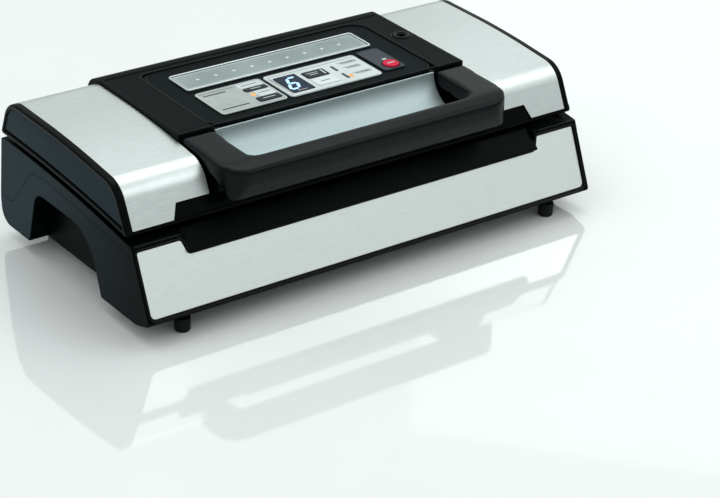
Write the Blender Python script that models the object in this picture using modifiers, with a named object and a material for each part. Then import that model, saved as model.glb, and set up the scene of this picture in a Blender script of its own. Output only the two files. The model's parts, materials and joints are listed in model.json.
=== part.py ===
"""Countertop vacuum sealer: hinged lid with steel covers and a latch handle, over a base with a trough.

The frame is +X to the right, -Y to the front, +Z up, with the origin under the middle of the object, on the
surface it stands on. All sizes below are in millimetres; the mesh builders turn them into metres.
"""

import math

import bmesh
import bpy
from mathutils import Matrix, Vector

MM = 0.001

# ---- Driving dimensions -------------------------------------------------------------------------------

# Whole object
WIDTH = 408.0                 # over the side cheeks
UNDERSIDE = 11.5              # height of the base's underside, which is the height of the feet
GAP = 0.4                     # fitting gap between pieces that touch

FOOT_MARGIN = 34.3            # from the side of the base to the middle of a foot
FOOT_ROWS = (("front", -98.6), ("rear", 88.0))
CASING_SCREW_X = 120.0
CASING_SCREW_ROWS = (("front", -70.0), ("rear", 92.0))
BEYOND = 5.0                  # how far a cutter passes the surface that it opens
REST = 0.3                    # gap under a flat piece that lies on a surface

# Side outline of the base: (y, z) of its corners
BASE_NOSE = (-92.0, UNDERSIDE)
BASE_TOE = (-110.4, 17.0)
BASE_BROW = (-88.2, 70.5)
BASE_REAR_TOP = (103.0, 84.0)
BASE_REAR_BULGE = (109.7, 32.0)
BASE_HEEL = (108.8, UNDERSIDE)
SEAM_DROP = 8.5               # depth of the seam between the two casings below the base's top edge
SEAM_REAR_Z = 34.5            # height of that seam at the back
CASING_WALL = 2.6

# Side outline of the lid
LID_TOE = (-83.0, 75.5)
LID_FOLD = (-66.4, 110.4)
LID_CREST = (5.0, 117.6)
LID_REAR_TOP = (91.0, 119.0)
LID_HEEL = (104.4, 87.4)
LID_FOLD_R = 22.0
LID_CREST_R = 900.0
LID_REAR_R = 22.0
LID_WALL = 2.6
CHEEK = 5.6                   # thickness of the lid's side cheeks
SHEET = 1.0                   # thickness of the steel covers

# Hand recesses in the sides of the base
RECESS_DEPTH = 16.0
RECESS_TOP = 58.0
RECESS_FRONT = -43.0
RECESS_REAR = 66.0

# Front trim and bag slot
TRIM_BOTTOM = 21.1
TRIM_TOP = 66.6
TRIM_MARGIN = 4.0             # from the side of the base to the trim
NOTCH_BOTTOM = 56.2
NOTCH_MARGIN = 43.9           # from the side of the base to the notch at its bottom
NOTCH_FLARE = 3.7             # how much wider the notch is at its top, on each side
TRIM_SET = 1.1                # how far the trim's face lies behind the casing's lip
LEDGE_FRONT = (-96.0, 59.4)
LEDGE_REAR = (-79.5, 71.6)
LEDGE_SHEET = 1.6
COVER_BOTTOM = 78.9           # lower edge of the lid's steel covers at the front
COVER_NOTCH_Z = 89.4          # the same edge inside the bag slot's width
COVER_REAR_Z = 90.5           # lower edge of the steel covers at the back
COVER_FLARE = 4.6             # how much wider the covers' notch is at its lower edge, on each side

# Deck, vacuum trough and seals
DECK_Z = 71.0
DECK_MARGIN = 7.5             # from the side of the base to the sunk deck
DECK_REAR = 45.0
TROUGH_MARGIN = 4.1           # from the notch's side to the trough
TROUGH_FRONT = -46.0
TROUGH_REAR = 18.0
TROUGH_Z = 46.0
SEAL_WIDTH = 6.0
SEAL_MARGIN = 4.0             # from the trough's edge to the seal's inner edge
SEAL_LIFT = 1.8               # how far each seal stands out of its surface
TRAY_Z = 75.6                 # underside of the lid's inner tray
TRAY_INSET = 3.0              # from the deck's recess to the inner tray
BAR_MARGIN = 2.1              # from the notch's side to the end of the sealing bar
BAR_Y = -66.0
BAR_WIDTH = 9.0
BAR_SUNK = 1.4                # how deep the sealing bar sits in the deck
SCREW_R = 3.6
SEAL_CORNER_R = 9.0

# Lid hinge
HINGE_Y = 98.4
HINGE_Z = 90.7
HINGE_X = 101.0               # middle of each hinge
BARREL_R = 4.0
BARREL_LENGTH = 26.0
HINGE_PIN_R = 1.6
PIN_CLEAR = 0.2               # between a pin and its bore
LUG_R = 3.1
LUG_LENGTH = 6.5

# Control housing and its panel, in the panel's own plane: x to the right, y to the rear
HOUSING_HALF = 131.0
HOUSING_FRONT = -33.5
HOUSING_FRONT_Z = 118.5
HOUSING_REAR = (93.6, 121.4)
HOUSING_HEEL = (107.2, 90.4)
HOUSING_THICK = 4.4
PANEL_RECESS = 0.9
PANEL_LEFT = -101.5
PANEL_RIGHT = 106.0
PANEL_REAR = 106.5
FASCIA_THICK = 1.0
PLATE_THICK = 0.7
DECOR = (-84.0, 87.5, 62.0, 92.0)          # x0, x1, y0, y1
LEFT_PLATE = (-84.0, -25.6, 12.4, 54.4)
RIGHT_PLATE = (-22.4, 62.6, 12.4, 54.4)
STOP_TILE = (67.2, 87.6, 15.6, 56.6)
DISPLAY = (-17.4, 2.6, 17.4, 47.4)
KEYS = {
    "key_program": (-47.6, -27.6, 37.4, 43.2),
    "key_vacuum": (-47.6, -27.6, 17.4, 25.0),
    "key_function": (7.0, 27.0, 33.2, 45.0),
    "key_seal": (7.0, 27.0, 18.6, 30.4),
}
KEY_TRAVEL = 0.5
KEY_CLEAR = 0.35
STOP_XY = (78.8, 24.6)
STOP_R = 6.6
PORT_XY = (120.0, 66.2)
PORT_R = 7.0
PORT_HOLE_R = 3.1

# Handle and its latch
HANDLE_HALF = 129.6
HANDLE_INNER = 102.0
HANDLE_FRONT = -101.0
HANDLE_BAR_REAR = -84.0
HANDLE_TOP = (117.0, 113.6)    # at the pivot and at the front
HANDLE_BOTTOM = 87.6
HANDLE_REAR = -35.8
HANDLE_PIVOT = (-39.6, 109.5)
HANDLE_KNUCKLE_R = 5.5
HANDLE_PIN_R = 1.2
SCOOP_TOP = (-36.0, 116.4)
SCOOP_BOTTOM = (-76.4, 89.6)
SCOOP_SHEET = 1.5
SCOOP_HALF = 100.6
LATCH_MARGIN = 26.0           # from the side of the base to the middle of each hook
LATCH_PIVOT = (-28.0, 94.0)
LATCH_THICK = 5.0
LATCH_WIDTH = 9.0
LATCH_TIP_Z = 60.0
LATCH_NOSE = 4.2
LATCH_SHAFT_R = 3.0
LATCH_SLOT = (-44.0, -18.5)   # front and rear of the latch slots in the deck
LATCH_SLOT_CLEAR = 1.5        # beside a hook in its slot
LATCH_CATCH_REAR = -6.0
WELL_Z = 104.0                # floor height of the lid's opening under the control housing
HINGE_RELIEF_R = 9.6          # round the hinge axis, for the housing's lower edge as the lid opens

# Pieces inside the base: x0, x1, y0, y1 and height
PUMP = (-34.0, 18.0, 44.0, 78.0, 38.0)
TRANSFORMER = (84.0, 128.0, 40.0, 82.0, 38.0)
POWER_BOARD = (-122.0, -48.0, 30.0, 88.0, 1.6)
MOTOR_R = 15.0
MOTOR_END = 66.0
MOTOR_LIFT = 19.0             # of the motor's axis above the floor
HOSE_X = -8.0
HOSE_LIFT = 30.0
HOSE_R = 3.4
NOZZLE_R = 4.0
NOZZLE_LENGTH = 4.0
CONTROL_BOARD = (-88.0, 94.0, 8.0, 58.0, 1.6)

# Hollow of the power inlet, a two-pin appliance socket
INLET_MARGIN = 54.0           # from the left side of the base
INLET_Z = 52.0
INLET_FACE = 107.4            # rear face of the inlet, just inside the casing's curve
INLET_SIZE = (26.0, 20.0, 18.0)
SOCKET_SIZE = (17.0, 14.0, 8.5)

HALF = WIDTH / 2.0
TRIM_HALF = HALF - TRIM_MARGIN
TRIM_SEAT = TRIM_SET + SHEET + GAP
NOTCH_HALF = HALF - NOTCH_MARGIN
DECK_HALF = HALF - DECK_MARGIN
TROUGH_HALF = NOTCH_HALF - TROUGH_MARGIN
BAR_HALF = NOTCH_HALF - BAR_MARGIN
LATCH_X = HALF - LATCH_MARGIN
INLET_X = INLET_MARGIN - HALF
FOOT_X = HALF - FOOT_MARGIN
FRONT_LEAN = (BASE_BROW[0] - BASE_TOE[0]) / (BASE_BROW[1] - BASE_TOE[1])
PANEL_SLOPE = (HOUSING_REAR[1] - HOUSING_FRONT_Z) / (HOUSING_REAR[0] - HOUSING_FRONT)
PANEL_TILT = math.atan(PANEL_SLOPE)

COLOURS = {
    "black_plastic": ((0.012, 0.013, 0.015), 0.38, 0.0),
    "satin_plastic": ((0.045, 0.055, 0.065), 0.42, 0.0),
    "gloss_plastic": ((0.010, 0.011, 0.013), 0.12, 0.0),
    "steel": ((0.62, 0.64, 0.63), 0.30, 1.0),
    "aluminium": ((0.55, 0.58, 0.60), 0.34, 1.0),
    "rubber": ((0.03, 0.03, 0.03), 0.80, 0.0),
    "silicone": ((0.55, 0.12, 0.08), 0.55, 0.0),
    "key_light": ((0.78, 0.79, 0.78), 0.45, 0.0),
    "key_dark": ((0.03, 0.04, 0.06), 0.35, 0.0),
    "key_grey": ((0.12, 0.13, 0.16), 0.40, 0.0),
    "red": ((0.70, 0.02, 0.06), 0.35, 0.0),
    "display": ((0.04, 0.10, 0.30), 0.10, 0.0),
    "circuit": ((0.02, 0.16, 0.07), 0.50, 0.0),
    "iron": ((0.20, 0.20, 0.21), 0.50, 1.0),
    "copper": ((0.60, 0.28, 0.12), 0.35, 1.0),
    "tube": ((0.75, 0.76, 0.74), 0.30, 0.0),
}


# ---- Scene, materials and collections -----------------------------------------------------------------

for old in list(bpy.data.objects):
    bpy.data.objects.remove(old, do_unlink=True)

MODEL = bpy.data.collections.new("vacuum_sealer")
CUTTERS = bpy.data.collections.new("cutters")
for collection in (MODEL, CUTTERS):
    bpy.context.scene.collection.children.link(collection)


def make_material(name, colour, roughness, metallic):
    material = bpy.data.materials.new(name)
    material.use_nodes = True
    shader = material.node_tree.nodes["Principled BSDF"]
    shader.inputs["Base Color"].default_value = (*colour, 1.0)
    shader.inputs["Roughness"].default_value = roughness
    shader.inputs["Metallic"].default_value = metallic
    material.diffuse_color = (*colour, 1.0)
    return material


MATERIALS = {name: make_material(name, *values) for name, values in COLOURS.items()}


# ---- Outlines -----------------------------------------------------------------------------------------

def fillet(before, corner, after, radius, steps):
    """Points of an arc that rounds the corner between two straight sides."""
    corner = Vector(corner)
    to_before = (Vector(before) - corner).normalized()
    to_after = (Vector(after) - corner).normalized()
    angle = to_before.angle(to_after)
    reach = radius / math.tan(angle / 2.0)
    centre = corner + (to_before + to_after).normalized() * radius / math.sin(angle / 2.0)
    start = corner + to_before * reach - centre
    end = corner + to_after * reach - centre
    turn = start.angle_signed(end)
    points = []
    for step in range(steps + 1):
        spoke = start.copy()
        spoke.rotate(Matrix.Rotation(-turn * step / steps, 2))
        points.append(tuple(centre + spoke))
    return points


def rounded(corners, steps=6):
    """A closed outline from (u, v, radius) corners; a corner with no radius stays sharp."""
    points = []
    count = len(corners)
    for index, (u, v, radius) in enumerate(corners):
        before = corners[index - 1][:2]
        after = corners[(index + 1) % count][:2]
        if radius:
            points += fillet(before, (u, v), after, radius, steps)
        else:
            points.append((u, v))
    return points


def rectangle(x0, x1, y0, y1, radius=0.0, steps=4):
    corners = [(x0, y0, radius), (x1, y0, radius), (x1, y1, radius), (x0, y1, radius)]
    return rounded(corners, steps)


def inset(points, distance):
    """A closed outline moved inwards by distance, each corner along its own bisector."""
    area = sum(a[0] * b[1] - b[0] * a[1] for a, b in zip(points, points[1:] + points[:1]))
    side = math.copysign(1.0, area)
    moved = []
    for index, point in enumerate(points):
        here = Vector(point)
        before = (here - Vector(points[index - 1])).normalized()
        after = (Vector(points[(index + 1) % len(points)]) - here).normalized()
        bisector = Vector((-before.y - after.y, before.x + after.x)).normalized() * side
        stretch = max(0.35, bisector.dot(Vector((-after.y, after.x)) * side))
        moved.append(tuple(here + bisector * distance / stretch))
    return moved


def top_drop(y):
    """Share of the parting line's drop, from 0 at the back to 1 at the front."""
    return ((BASE_REAR_TOP[0] - y) / (BASE_REAR_TOP[0] - BASE_BROW[0])) ** 2


def base_top(y):
    return BASE_REAR_TOP[1] - (BASE_REAR_TOP[1] - BASE_BROW[1]) * top_drop(y)


def lid_bottom(y):
    front_share = top_drop(LID_TOE[0])
    return LID_HEEL[1] - (LID_HEEL[1] - LID_TOE[1]) * top_drop(y) / front_share


def curve_points(height, start, end, count):
    """Points of a height curve between two depths, ends included."""
    depths = [start + (end - start) * step / (count - 1) for step in range(count)]
    return [(y, height(y)) for y in depths]


def base_outline(inside=0.0, forward=0.0):
    """The base from the side, or that outline moved inwards, with its front moved back by forward."""
    small = 0.0 if inside else 1.0
    top = curve_points(base_top, BASE_BROW[0] + 3.0 + forward, BASE_REAR_TOP[0] - 4.0, 11)
    corners = [
        (*BASE_HEEL, 13.0),
        (*BASE_NOSE, 25.0),
        (BASE_TOE[0] + forward, BASE_TOE[1], 3.0 * small),
        (BASE_BROW[0] + forward, BASE_BROW[1], 1.6 * small),
    ]
    corners += [(*point, 0.0) for point in top]
    corners += [(*BASE_REAR_TOP, 2.0 * small), (*BASE_REAR_BULGE, 34.0)]
    return inset(rounded(corners), inside) if inside else rounded(corners)


def seam_z(y):
    return base_top(y) - SEAM_DROP


def seam_line():
    """The seam between the casings, from the front to the back."""
    level = curve_points(seam_z, BASE_TOE[0] - 5.0, RECESS_REAR - 26.0, 9)
    arch_top = (RECESS_REAR - 8.0, seam_z(RECESS_REAR - 8.0) - 3.0)
    arch_foot = (RECESS_REAR + 24.0, SEAM_REAR_Z)
    end = (BASE_REAR_BULGE[0] + 5.0, SEAM_REAR_Z)
    bend = fillet(level[-1], arch_top, arch_foot, 14.0, 6)
    foot = fillet(arch_top, arch_foot, end, 9.0, 6)
    return level + bend + foot + [end]


def lid_outline(steps=8):
    """The lid from the side."""
    bottom = curve_points(lid_bottom, LID_HEEL[0] - 4.0, LID_TOE[0] + 3.0, 11)
    corners = [(*LID_TOE, 1.2), (*LID_FOLD, LID_FOLD_R), (*LID_CREST, LID_CREST_R)]
    corners += [(*LID_REAR_TOP, LID_REAR_R), (*LID_HEEL, 2.6)]
    corners += [(*point, 0.0) for point in bottom]
    return rounded(corners, steps)


# ---- Mesh builders ------------------------------------------------------------------------------------

def finish(obj, material, smooth_angle=35.0):
    """Gives an object its material and smooth shading, in the model's collection."""
    obj.data.materials.append(MATERIALS[material])
    if obj.type == "MESH":
        obj.data.shade_smooth()
        obj.data.set_sharp_from_angle(angle=math.radians(smooth_angle))
    MODEL.objects.link(obj)
    return obj


def helper(obj):
    """A solid that only shapes other pieces."""
    obj.hide_render = True
    obj.display_type = "WIRE"
    CUTTERS.objects.link(obj)
    return obj


def mesh_object(name, bm):
    mesh = bpy.data.meshes.new(name)
    bmesh.ops.recalc_face_normals(bm, faces=bm.faces)
    bm.to_mesh(mesh)
    bm.free()
    return bpy.data.objects.new(name, mesh)


AXIS_FRAMES = {
    "X": Matrix(((0, 0, 1), (1, 0, 0), (0, 1, 0))).to_4x4(),
    "Y": Matrix(((1, 0, 0), (0, 0, -1), (0, 1, 0))).to_4x4(),
    "Z": Matrix.Identity(4),
}


def extrusion(name, loops, low, high, axis="X"):
    """A solid from a flat outline, with any further loops as holes, extruded along an axis from low to high.

    Along X an outline's points are (y, z), along Z they are (x, y) and along Y they are (x, z).
    """
    curve = bpy.data.curves.new(name, "CURVE")
    curve.dimensions = "2D"
    curve.fill_mode = "BOTH"
    curve.extrude = (high - low) / 2.0 * MM
    for loop in loops:
        spline = curve.splines.new("POLY")
        spline.points.add(len(loop) - 1)
        for point, (u, v) in zip(spline.points, loop):
            point.co = (u * MM, v * MM, 0.0, 1.0)
        spline.use_cyclic_u = True
    guide = bpy.data.objects.new(name + "_guide", curve)
    bpy.context.scene.collection.objects.link(guide)
    graph = bpy.context.evaluated_depsgraph_get()
    mesh = bpy.data.meshes.new_from_object(guide.evaluated_get(graph))
    bpy.data.objects.remove(guide, do_unlink=True)
    middle = (high + low) / 2.0 * MM
    if axis == "Y":
        middle = -middle
    mesh.transform(AXIS_FRAMES[axis] @ Matrix.Translation((0.0, 0.0, middle)))
    bm = bmesh.new()
    bm.from_mesh(mesh)
    bmesh.ops.remove_doubles(bm, verts=bm.verts, dist=1e-6)
    bmesh.ops.recalc_face_normals(bm, faces=bm.faces)
    bm.to_mesh(mesh)
    bm.free()
    mesh.name = name
    return bpy.data.objects.new(name, mesh)


def box(name, low, high, rounding=0.0):
    """A box between two corners, with its edges bevelled if asked. Its origin is at its middle."""
    bm = bmesh.new()
    bmesh.ops.create_cube(bm, size=1.0)
    size = [(b - a) * MM for a, b in zip(low, high)]
    bmesh.ops.scale(bm, vec=size, verts=bm.verts)
    obj = mesh_object(name, bm)
    obj.location = [(a + b) / 2.0 * MM for a, b in zip(low, high)]
    if rounding:
        bevel = obj.modifiers.new("Rounding", "BEVEL")
        bevel.width = rounding * MM
        bevel.segments = 2
    return obj


def cylinder(name, radius, start, end, sides=32):
    """A cylinder between two points."""
    start, end = Vector(start) * MM, Vector(end) * MM
    bm = bmesh.new()
    bmesh.ops.create_cone(
        bm, cap_ends=True, segments=sides,
        radius1=radius * MM, radius2=radius * MM, depth=(end - start).length,
    )
    obj = mesh_object(name, bm)
    obj.rotation_mode = "QUATERNION"
    obj.rotation_quaternion = (end - start).to_track_quat("Z", "Y")
    obj.location = (start + end) / 2.0
    return obj


def turned(name, profile, steps=40):
    """A turned piece: (radius, height) points down its outer side, spun round Z and welded on the axis."""
    bm = bmesh.new()
    verts = [bm.verts.new((radius * MM, 0.0, height * MM)) for radius, height in profile]
    for first, second in zip(verts, verts[1:]):
        bm.edges.new((first, second))
    mesh = bpy.data.meshes.new(name)
    bm.to_mesh(mesh)
    bm.free()
    obj = bpy.data.objects.new(name, mesh)
    screw = obj.modifiers.new("Turn", "SCREW")
    screw.steps = steps
    screw.render_steps = steps
    screw.use_merge_vertices = True
    screw.merge_threshold = 0.00001
    return obj


def tube(name, points, radius):
    """A round tube along a smooth route through the points."""
    curve = bpy.data.curves.new(name, "CURVE")
    curve.dimensions = "3D"
    curve.bevel_depth = radius * MM
    curve.bevel_resolution = 2
    curve.use_fill_caps = True
    spline = curve.splines.new("POLY")
    spline.points.add(len(points) - 1)
    for point, co in zip(spline.points, points):
        point.co = (*(value * MM for value in co), 1.0)
    return bpy.data.objects.new(name, curve)


def boolean(obj, operation, *others):
    for other in others:
        modifier = obj.modifiers.new(f"{operation.title()} {other.name}", "BOOLEAN")
        modifier.operation = operation
        modifier.object = other
    return obj


def cut(obj, *cutters):
    return boolean(obj, "DIFFERENCE", *cutters)


def join(obj, *additions):
    return boolean(obj, "UNION", *additions)


def on_line(first, second, z):
    """Depth at height z of the straight line through two (y, z) points."""
    return first[0] + (second[0] - first[0]) * (z - first[1]) / (second[1] - first[1])


def pivot(name, location, tilt=0.0, parent=None):
    """An empty on a joint's axis, or at the corner of a tilted plane."""
    empty = bpy.data.objects.new(name, None)
    empty.empty_display_size = 0.02
    empty.location = Vector(location) * MM
    empty.rotation_euler.x = tilt
    MODEL.objects.link(empty)
    if parent:
        attach(empty, parent)
    return empty


def attach(obj, parent):
    """Parents a piece that is already in its place."""
    bpy.context.view_layer.update()
    obj.parent = parent
    obj.matrix_parent_inverse = parent.matrix_world.inverted()
    return obj


def lay(obj, plane):
    """Parents a piece whose coordinates are those of a tilted plane."""
    obj.parent = plane
    return obj


LID = pivot("lid_hinge", (0.0, HINGE_Y, HINGE_Z))
HANDLE = pivot("handle_pivot", (0.0, *HANDLE_PIVOT), parent=LID)
LATCH = pivot("latch_pivot", (0.0, *LATCH_PIVOT), parent=LID)
PANEL = pivot("panel_plane", (0.0, HOUSING_FRONT, HOUSING_FRONT_Z), PANEL_TILT, LID)
FRONT = pivot("front_plane", (0.0, *BASE_TOE), -math.atan(FRONT_LEAN))

SIDES = {"left": -1.0, "right": 1.0}


def span(side, near, far):
    """An x range on one side of the middle, low end first."""
    return sorted((side * near, side * far))


# ---- Base: casings ------------------------------------------------------------------------------------

def arch_outline(grow=0.0):
    """The hand recess in a side of the base, seen from that side."""
    corners = [
        (RECESS_REAR + grow, UNDERSIDE - 6.0, 0.0),
        (RECESS_REAR + grow, UNDERSIDE, 0.0),
        (RECESS_REAR - 14.0 + grow, RECESS_TOP + grow, 14.0 + grow),
        (RECESS_FRONT + 16.0 - grow, RECESS_TOP + grow, 34.0 + grow),
        (RECESS_FRONT - grow, UNDERSIDE, 0.0),
        (RECESS_FRONT - grow, UNDERSIDE - 6.0, 0.0),
    ]
    return rounded(corners)


def base_cavity_outline(wall):
    """Inside of the base; its front wall is thick enough to seat the trim."""
    forward = TRIM_SEAT + CASING_WALL - CASING_WALL / math.cos(math.atan(FRONT_LEAN))
    return base_outline(wall, forward)


def deck_block_outline():
    """What the cavity leaves standing for the deck, its front slope and the rear step."""
    under = DECK_Z - CASING_WALL
    ledge_under = LEDGE_FRONT[1] - LEDGE_SHEET - CASING_WALL - GAP
    rear = DECK_REAR + CASING_WALL
    return [
        (BASE_TOE[0] - 10.0, ledge_under),
        (LEDGE_FRONT[0] + 2.0, ledge_under),
        (LEDGE_REAR[0] + 3.0, under),
        (rear, under),
        (rear, 100.0),
        (BASE_TOE[0] - 10.0, 100.0),
    ]


def ledge_seat_outline():
    """Space above the bag slot's sloping ledge, down to the seat of its sheet."""
    drop = LEDGE_SHEET + GAP
    return [
        (BASE_TOE[0] - 12.0, LEDGE_FRONT[1] - drop),
        (LEDGE_FRONT[0], LEDGE_FRONT[1] - drop),
        (LEDGE_REAR[0], LEDGE_REAR[1] - drop),
        (LEDGE_REAR[0], 100.0),
        (BASE_TOE[0] - 12.0, 100.0),
    ]


def front_height(z):
    """Distance along the leaning front plane from its toe to height z."""
    return (z - BASE_TOE[1]) / math.cos(math.atan(FRONT_LEAN))


def trim_outline(grow=0.0):
    """The steel trim in the front plane: a bar with a wide notch for the bag in its top edge."""
    low, high = front_height(TRIM_BOTTOM) - grow, front_height(TRIM_TOP) + grow
    notch = front_height(NOTCH_BOTTOM) + grow
    side = TRIM_HALF + grow
    inner = NOTCH_HALF - grow
    right = [
        (side, low, 4.0),
        (side, high, 1.5),
        (inner + NOTCH_FLARE, high, 2.5),
        (inner, notch, 4.0),
    ]
    left = [(-x, v, radius) for x, v, radius in reversed(right)]
    return rounded(right + left, 4)


def deck_blocks():
    """The deck with its trough, and the thick place under the housing's hinge relief, all solid."""
    deck_x = DECK_HALF + CASING_WALL
    trough_x = TROUGH_HALF + CASING_WALL
    relief_x = HOUSING_HALF + 1.0 + CASING_WALL
    deck = extrusion("deck_block", [deck_block_outline()], -deck_x, deck_x)
    trough = box(
        "trough_block",
        (-trough_x, TROUGH_FRONT - CASING_WALL, TROUGH_Z - CASING_WALL),
        (trough_x, TROUGH_REAR + CASING_WALL, DECK_Z),
    )
    relief = cylinder(
        "relief_block", HINGE_RELIEF_R + CASING_WALL,
        (-relief_x, HINGE_Y, HINGE_Z), (relief_x, HINGE_Y, HINGE_Z), 48,
    )
    return helper(deck), helper(trough), helper(relief)


def arches(name, grow):
    """The hand recesses in both sides, or the walls round them."""
    pieces = []
    for way, side in SIDES.items():
        low, high = span(side, HALF - RECESS_DEPTH - grow, HALF + BEYOND)
        pieces.append(helper(extrusion(f"{name}_{way}", [arch_outline(grow)], low, high)))
    return pieces


def seam_cutter(name, above):
    """Everything above, or below, the seam between the casings, less half the fitting gap."""
    shift = -GAP / 2.0 if above else GAP / 2.0
    line = [(y, z + shift) for y, z in seam_line()]
    far = 140.0 if above else -40.0
    loop = line + [(line[-1][0], far), (line[0][0], far)]
    return helper(extrusion(name, [loop], -HALF - BEYOND, HALF + BEYOND))


def build_casings():
    wall_x = HALF - CASING_WALL
    blocks = deck_blocks()
    arch_walls = arches("arch_wall", CASING_WALL)
    arch_cuts = arches("arch_cut", 0.0)
    trim_seat = lay(helper(extrusion("trim_seat", [trim_outline(GAP)], -12.0, TRIM_SEAT, "Y")), FRONT)
    slot_x = NOTCH_HALF + GAP
    slot = helper(extrusion("slot_cut", [ledge_seat_outline()], -slot_x, slot_x))

    cavity = extrusion("lower_cavity", [base_cavity_outline(CASING_WALL)], -wall_x, wall_x)
    cut(cavity, *arch_walls)
    lower = extrusion("lower_casing", [base_outline()], -HALF, HALF)
    cut(lower, seam_cutter("above_seam", True), helper(cavity), *arch_cuts, trim_seat, slot)
    for name, x, y in screw_places():
        hole = cylinder(f"hole_{name}", SCREW_R + GAP, (x, y, 0.0), (x, y, UNDERSIDE + 1.7), 20)
        cut(lower, helper(hole))
    finish(lower, "satin_plastic")

    within = extrusion("within_walls", [base_cavity_outline(CASING_WALL + GAP)], -wall_x + GAP, wall_x - GAP)
    below = seam_cutter("below_seam", False)
    boolean(below, "DIFFERENCE", helper(within))
    cavity = extrusion("upper_cavity", [base_cavity_outline(CASING_WALL)], -wall_x, wall_x)
    cut(cavity, *blocks)
    upper = extrusion("upper_casing", [base_outline()], -HALF, HALF)
    cut(upper, below, helper(cavity), trim_seat, slot)
    deck = box("deck_cut", (-DECK_HALF, BASE_TOE[0] - 20.0, DECK_Z), (DECK_HALF, DECK_REAR, 110.0))
    trough = box(
        "trough_cut", (-TROUGH_HALF, TROUGH_FRONT, TROUGH_Z), (TROUGH_HALF, TROUGH_REAR, DECK_Z + 5.0), 3.0
    )
    groove = box(
        "bar_groove",
        (-BAR_HALF - GAP, BAR_Y - BAR_WIDTH / 2.0 - GAP, DECK_Z - BAR_SUNK - GAP),
        (BAR_HALF + GAP, BAR_Y + BAR_WIDTH / 2.0 + GAP, DECK_Z + 5.0),
    )
    inlet = box("inlet_cut", *inlet_corners(GAP))
    cut(upper, helper(deck), helper(trough), helper(groove), helper(inlet))
    slot_half = LATCH_THICK / 2.0 + LATCH_SLOT_CLEAR
    for name, side in SIDES.items():
        low, high = span(side, LATCH_X - slot_half, LATCH_X + slot_half)
        slot_cut = box(f"deck_slot_{name}", (low, LATCH_SLOT[0], 60.0), (high, LATCH_SLOT[1], 80.0))
        cut(upper, helper(slot_cut))
    relief_x = HOUSING_HALF + 1.0
    relief = cylinder(
        "relief_cut", HINGE_RELIEF_R, (-relief_x, HINGE_Y, HINGE_Z), (relief_x, HINGE_Y, HINGE_Z), 48
    )
    cut(upper, helper(relief))
    finish(upper, "satin_plastic")


def screw_places():
    for row, y in CASING_SCREW_ROWS:
        for name, side in SIDES.items():
            yield f"{row}_{name}", side * CASING_SCREW_X, y


def foot_places():
    for row, y in FOOT_ROWS:
        for name, side in SIDES.items():
            yield f"{row}_{name}", side * FOOT_X, y


def build_screws_and_feet():
    foot_base = UNDERSIDE - GAP
    profile = [(0.0, foot_base), (6.2, foot_base), (5.8, 1.0), (4.8, 0.0), (0.0, 0.0)]
    for name, x, y in foot_places():
        foot = turned(f"foot_{name}", profile, 24)
        foot.location = Vector((x, y, 0.0)) * MM
        finish(foot, "rubber")
    for name, x, y in screw_places():
        head_low, head_high = (x, y, UNDERSIDE + 0.2), (x, y, UNDERSIDE + 1.4)
        screw = cylinder(f"casing_screw_{name}", SCREW_R, head_low, head_high, 20)
        cross = box(f"cross_{name}", (x - 2.2, y - 0.5, 0.0), (x + 2.2, y + 0.5, UNDERSIDE + 0.8))
        finish(cut(screw, helper(cross)), "iron")


# ---- Base: the pieces it carries ----------------------------------------------------------------------

def build_front():
    trim = extrusion("front_trim", [trim_outline()], TRIM_SET, TRIM_SET + SHEET, "Y")
    finish(lay(trim, FRONT), "steel")
    rise = LEDGE_SHEET
    front, rear = LEDGE_FRONT, LEDGE_REAR
    sheet = [
        (front[0] + 0.5, front[1] - rise),
        (rear[0] - GAP, rear[1] - rise - GAP),
        (rear[0] - GAP, rear[1] - GAP),
        (front[0] + 0.5, front[1]),
    ]
    finish(extrusion("bag_ledge", [sheet], -NOTCH_HALF, NOTCH_HALF), "black_plastic")


def ring(name, outer, inner, low, high, radius):
    """A flat rounded rectangular ring; outer and inner are (x0, x1, y0, y1)."""
    loops = [rectangle(*outer, radius, 6), rectangle(*inner, radius - SEAL_WIDTH / 2.0, 6)]
    return extrusion(name, loops, low, high, "Z")


def seal_rectangles():
    near = SEAL_MARGIN
    far = SEAL_MARGIN + SEAL_WIDTH
    rows = []
    for margin in (far, near):
        half = TROUGH_HALF + margin
        rows.append((-half, half, TROUGH_FRONT - margin, TROUGH_REAR + margin))
    return rows


def build_deck_pieces():
    outer, inner = seal_rectangles()
    gasket = ring("lower_gasket", outer, inner, DECK_Z + REST, DECK_Z + REST + SEAL_LIFT, SEAL_CORNER_R)
    finish(gasket, "rubber")
    bar = box(
        "sealing_bar",
        (-BAR_HALF, BAR_Y - BAR_WIDTH / 2.0, DECK_Z - BAR_SUNK),
        (BAR_HALF, BAR_Y + BAR_WIDTH / 2.0, DECK_Z + 1.0),
        0.4,
    )
    finish(bar, "silicone")
    strip = box(
        "heating_strip",
        (-BAR_HALF + 3.0, BAR_Y - 2.2, DECK_Z + 1.3),
        (BAR_HALF - 3.0, BAR_Y + 2.2, DECK_Z + 1.7),
    )
    finish(strip, "copper")
    for name, side in SIDES.items():
        low, high = span(side, LATCH_X - 7.0, LATCH_X + 6.0)
        top = DECK_Z - CASING_WALL - REST
        catch = box(
            f"latch_catch_{name}", (low, LATCH_SLOT[1], top - 2.0), (high, LATCH_CATCH_REAR, top), 0.4
        )
        finish(catch, "iron")


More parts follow.
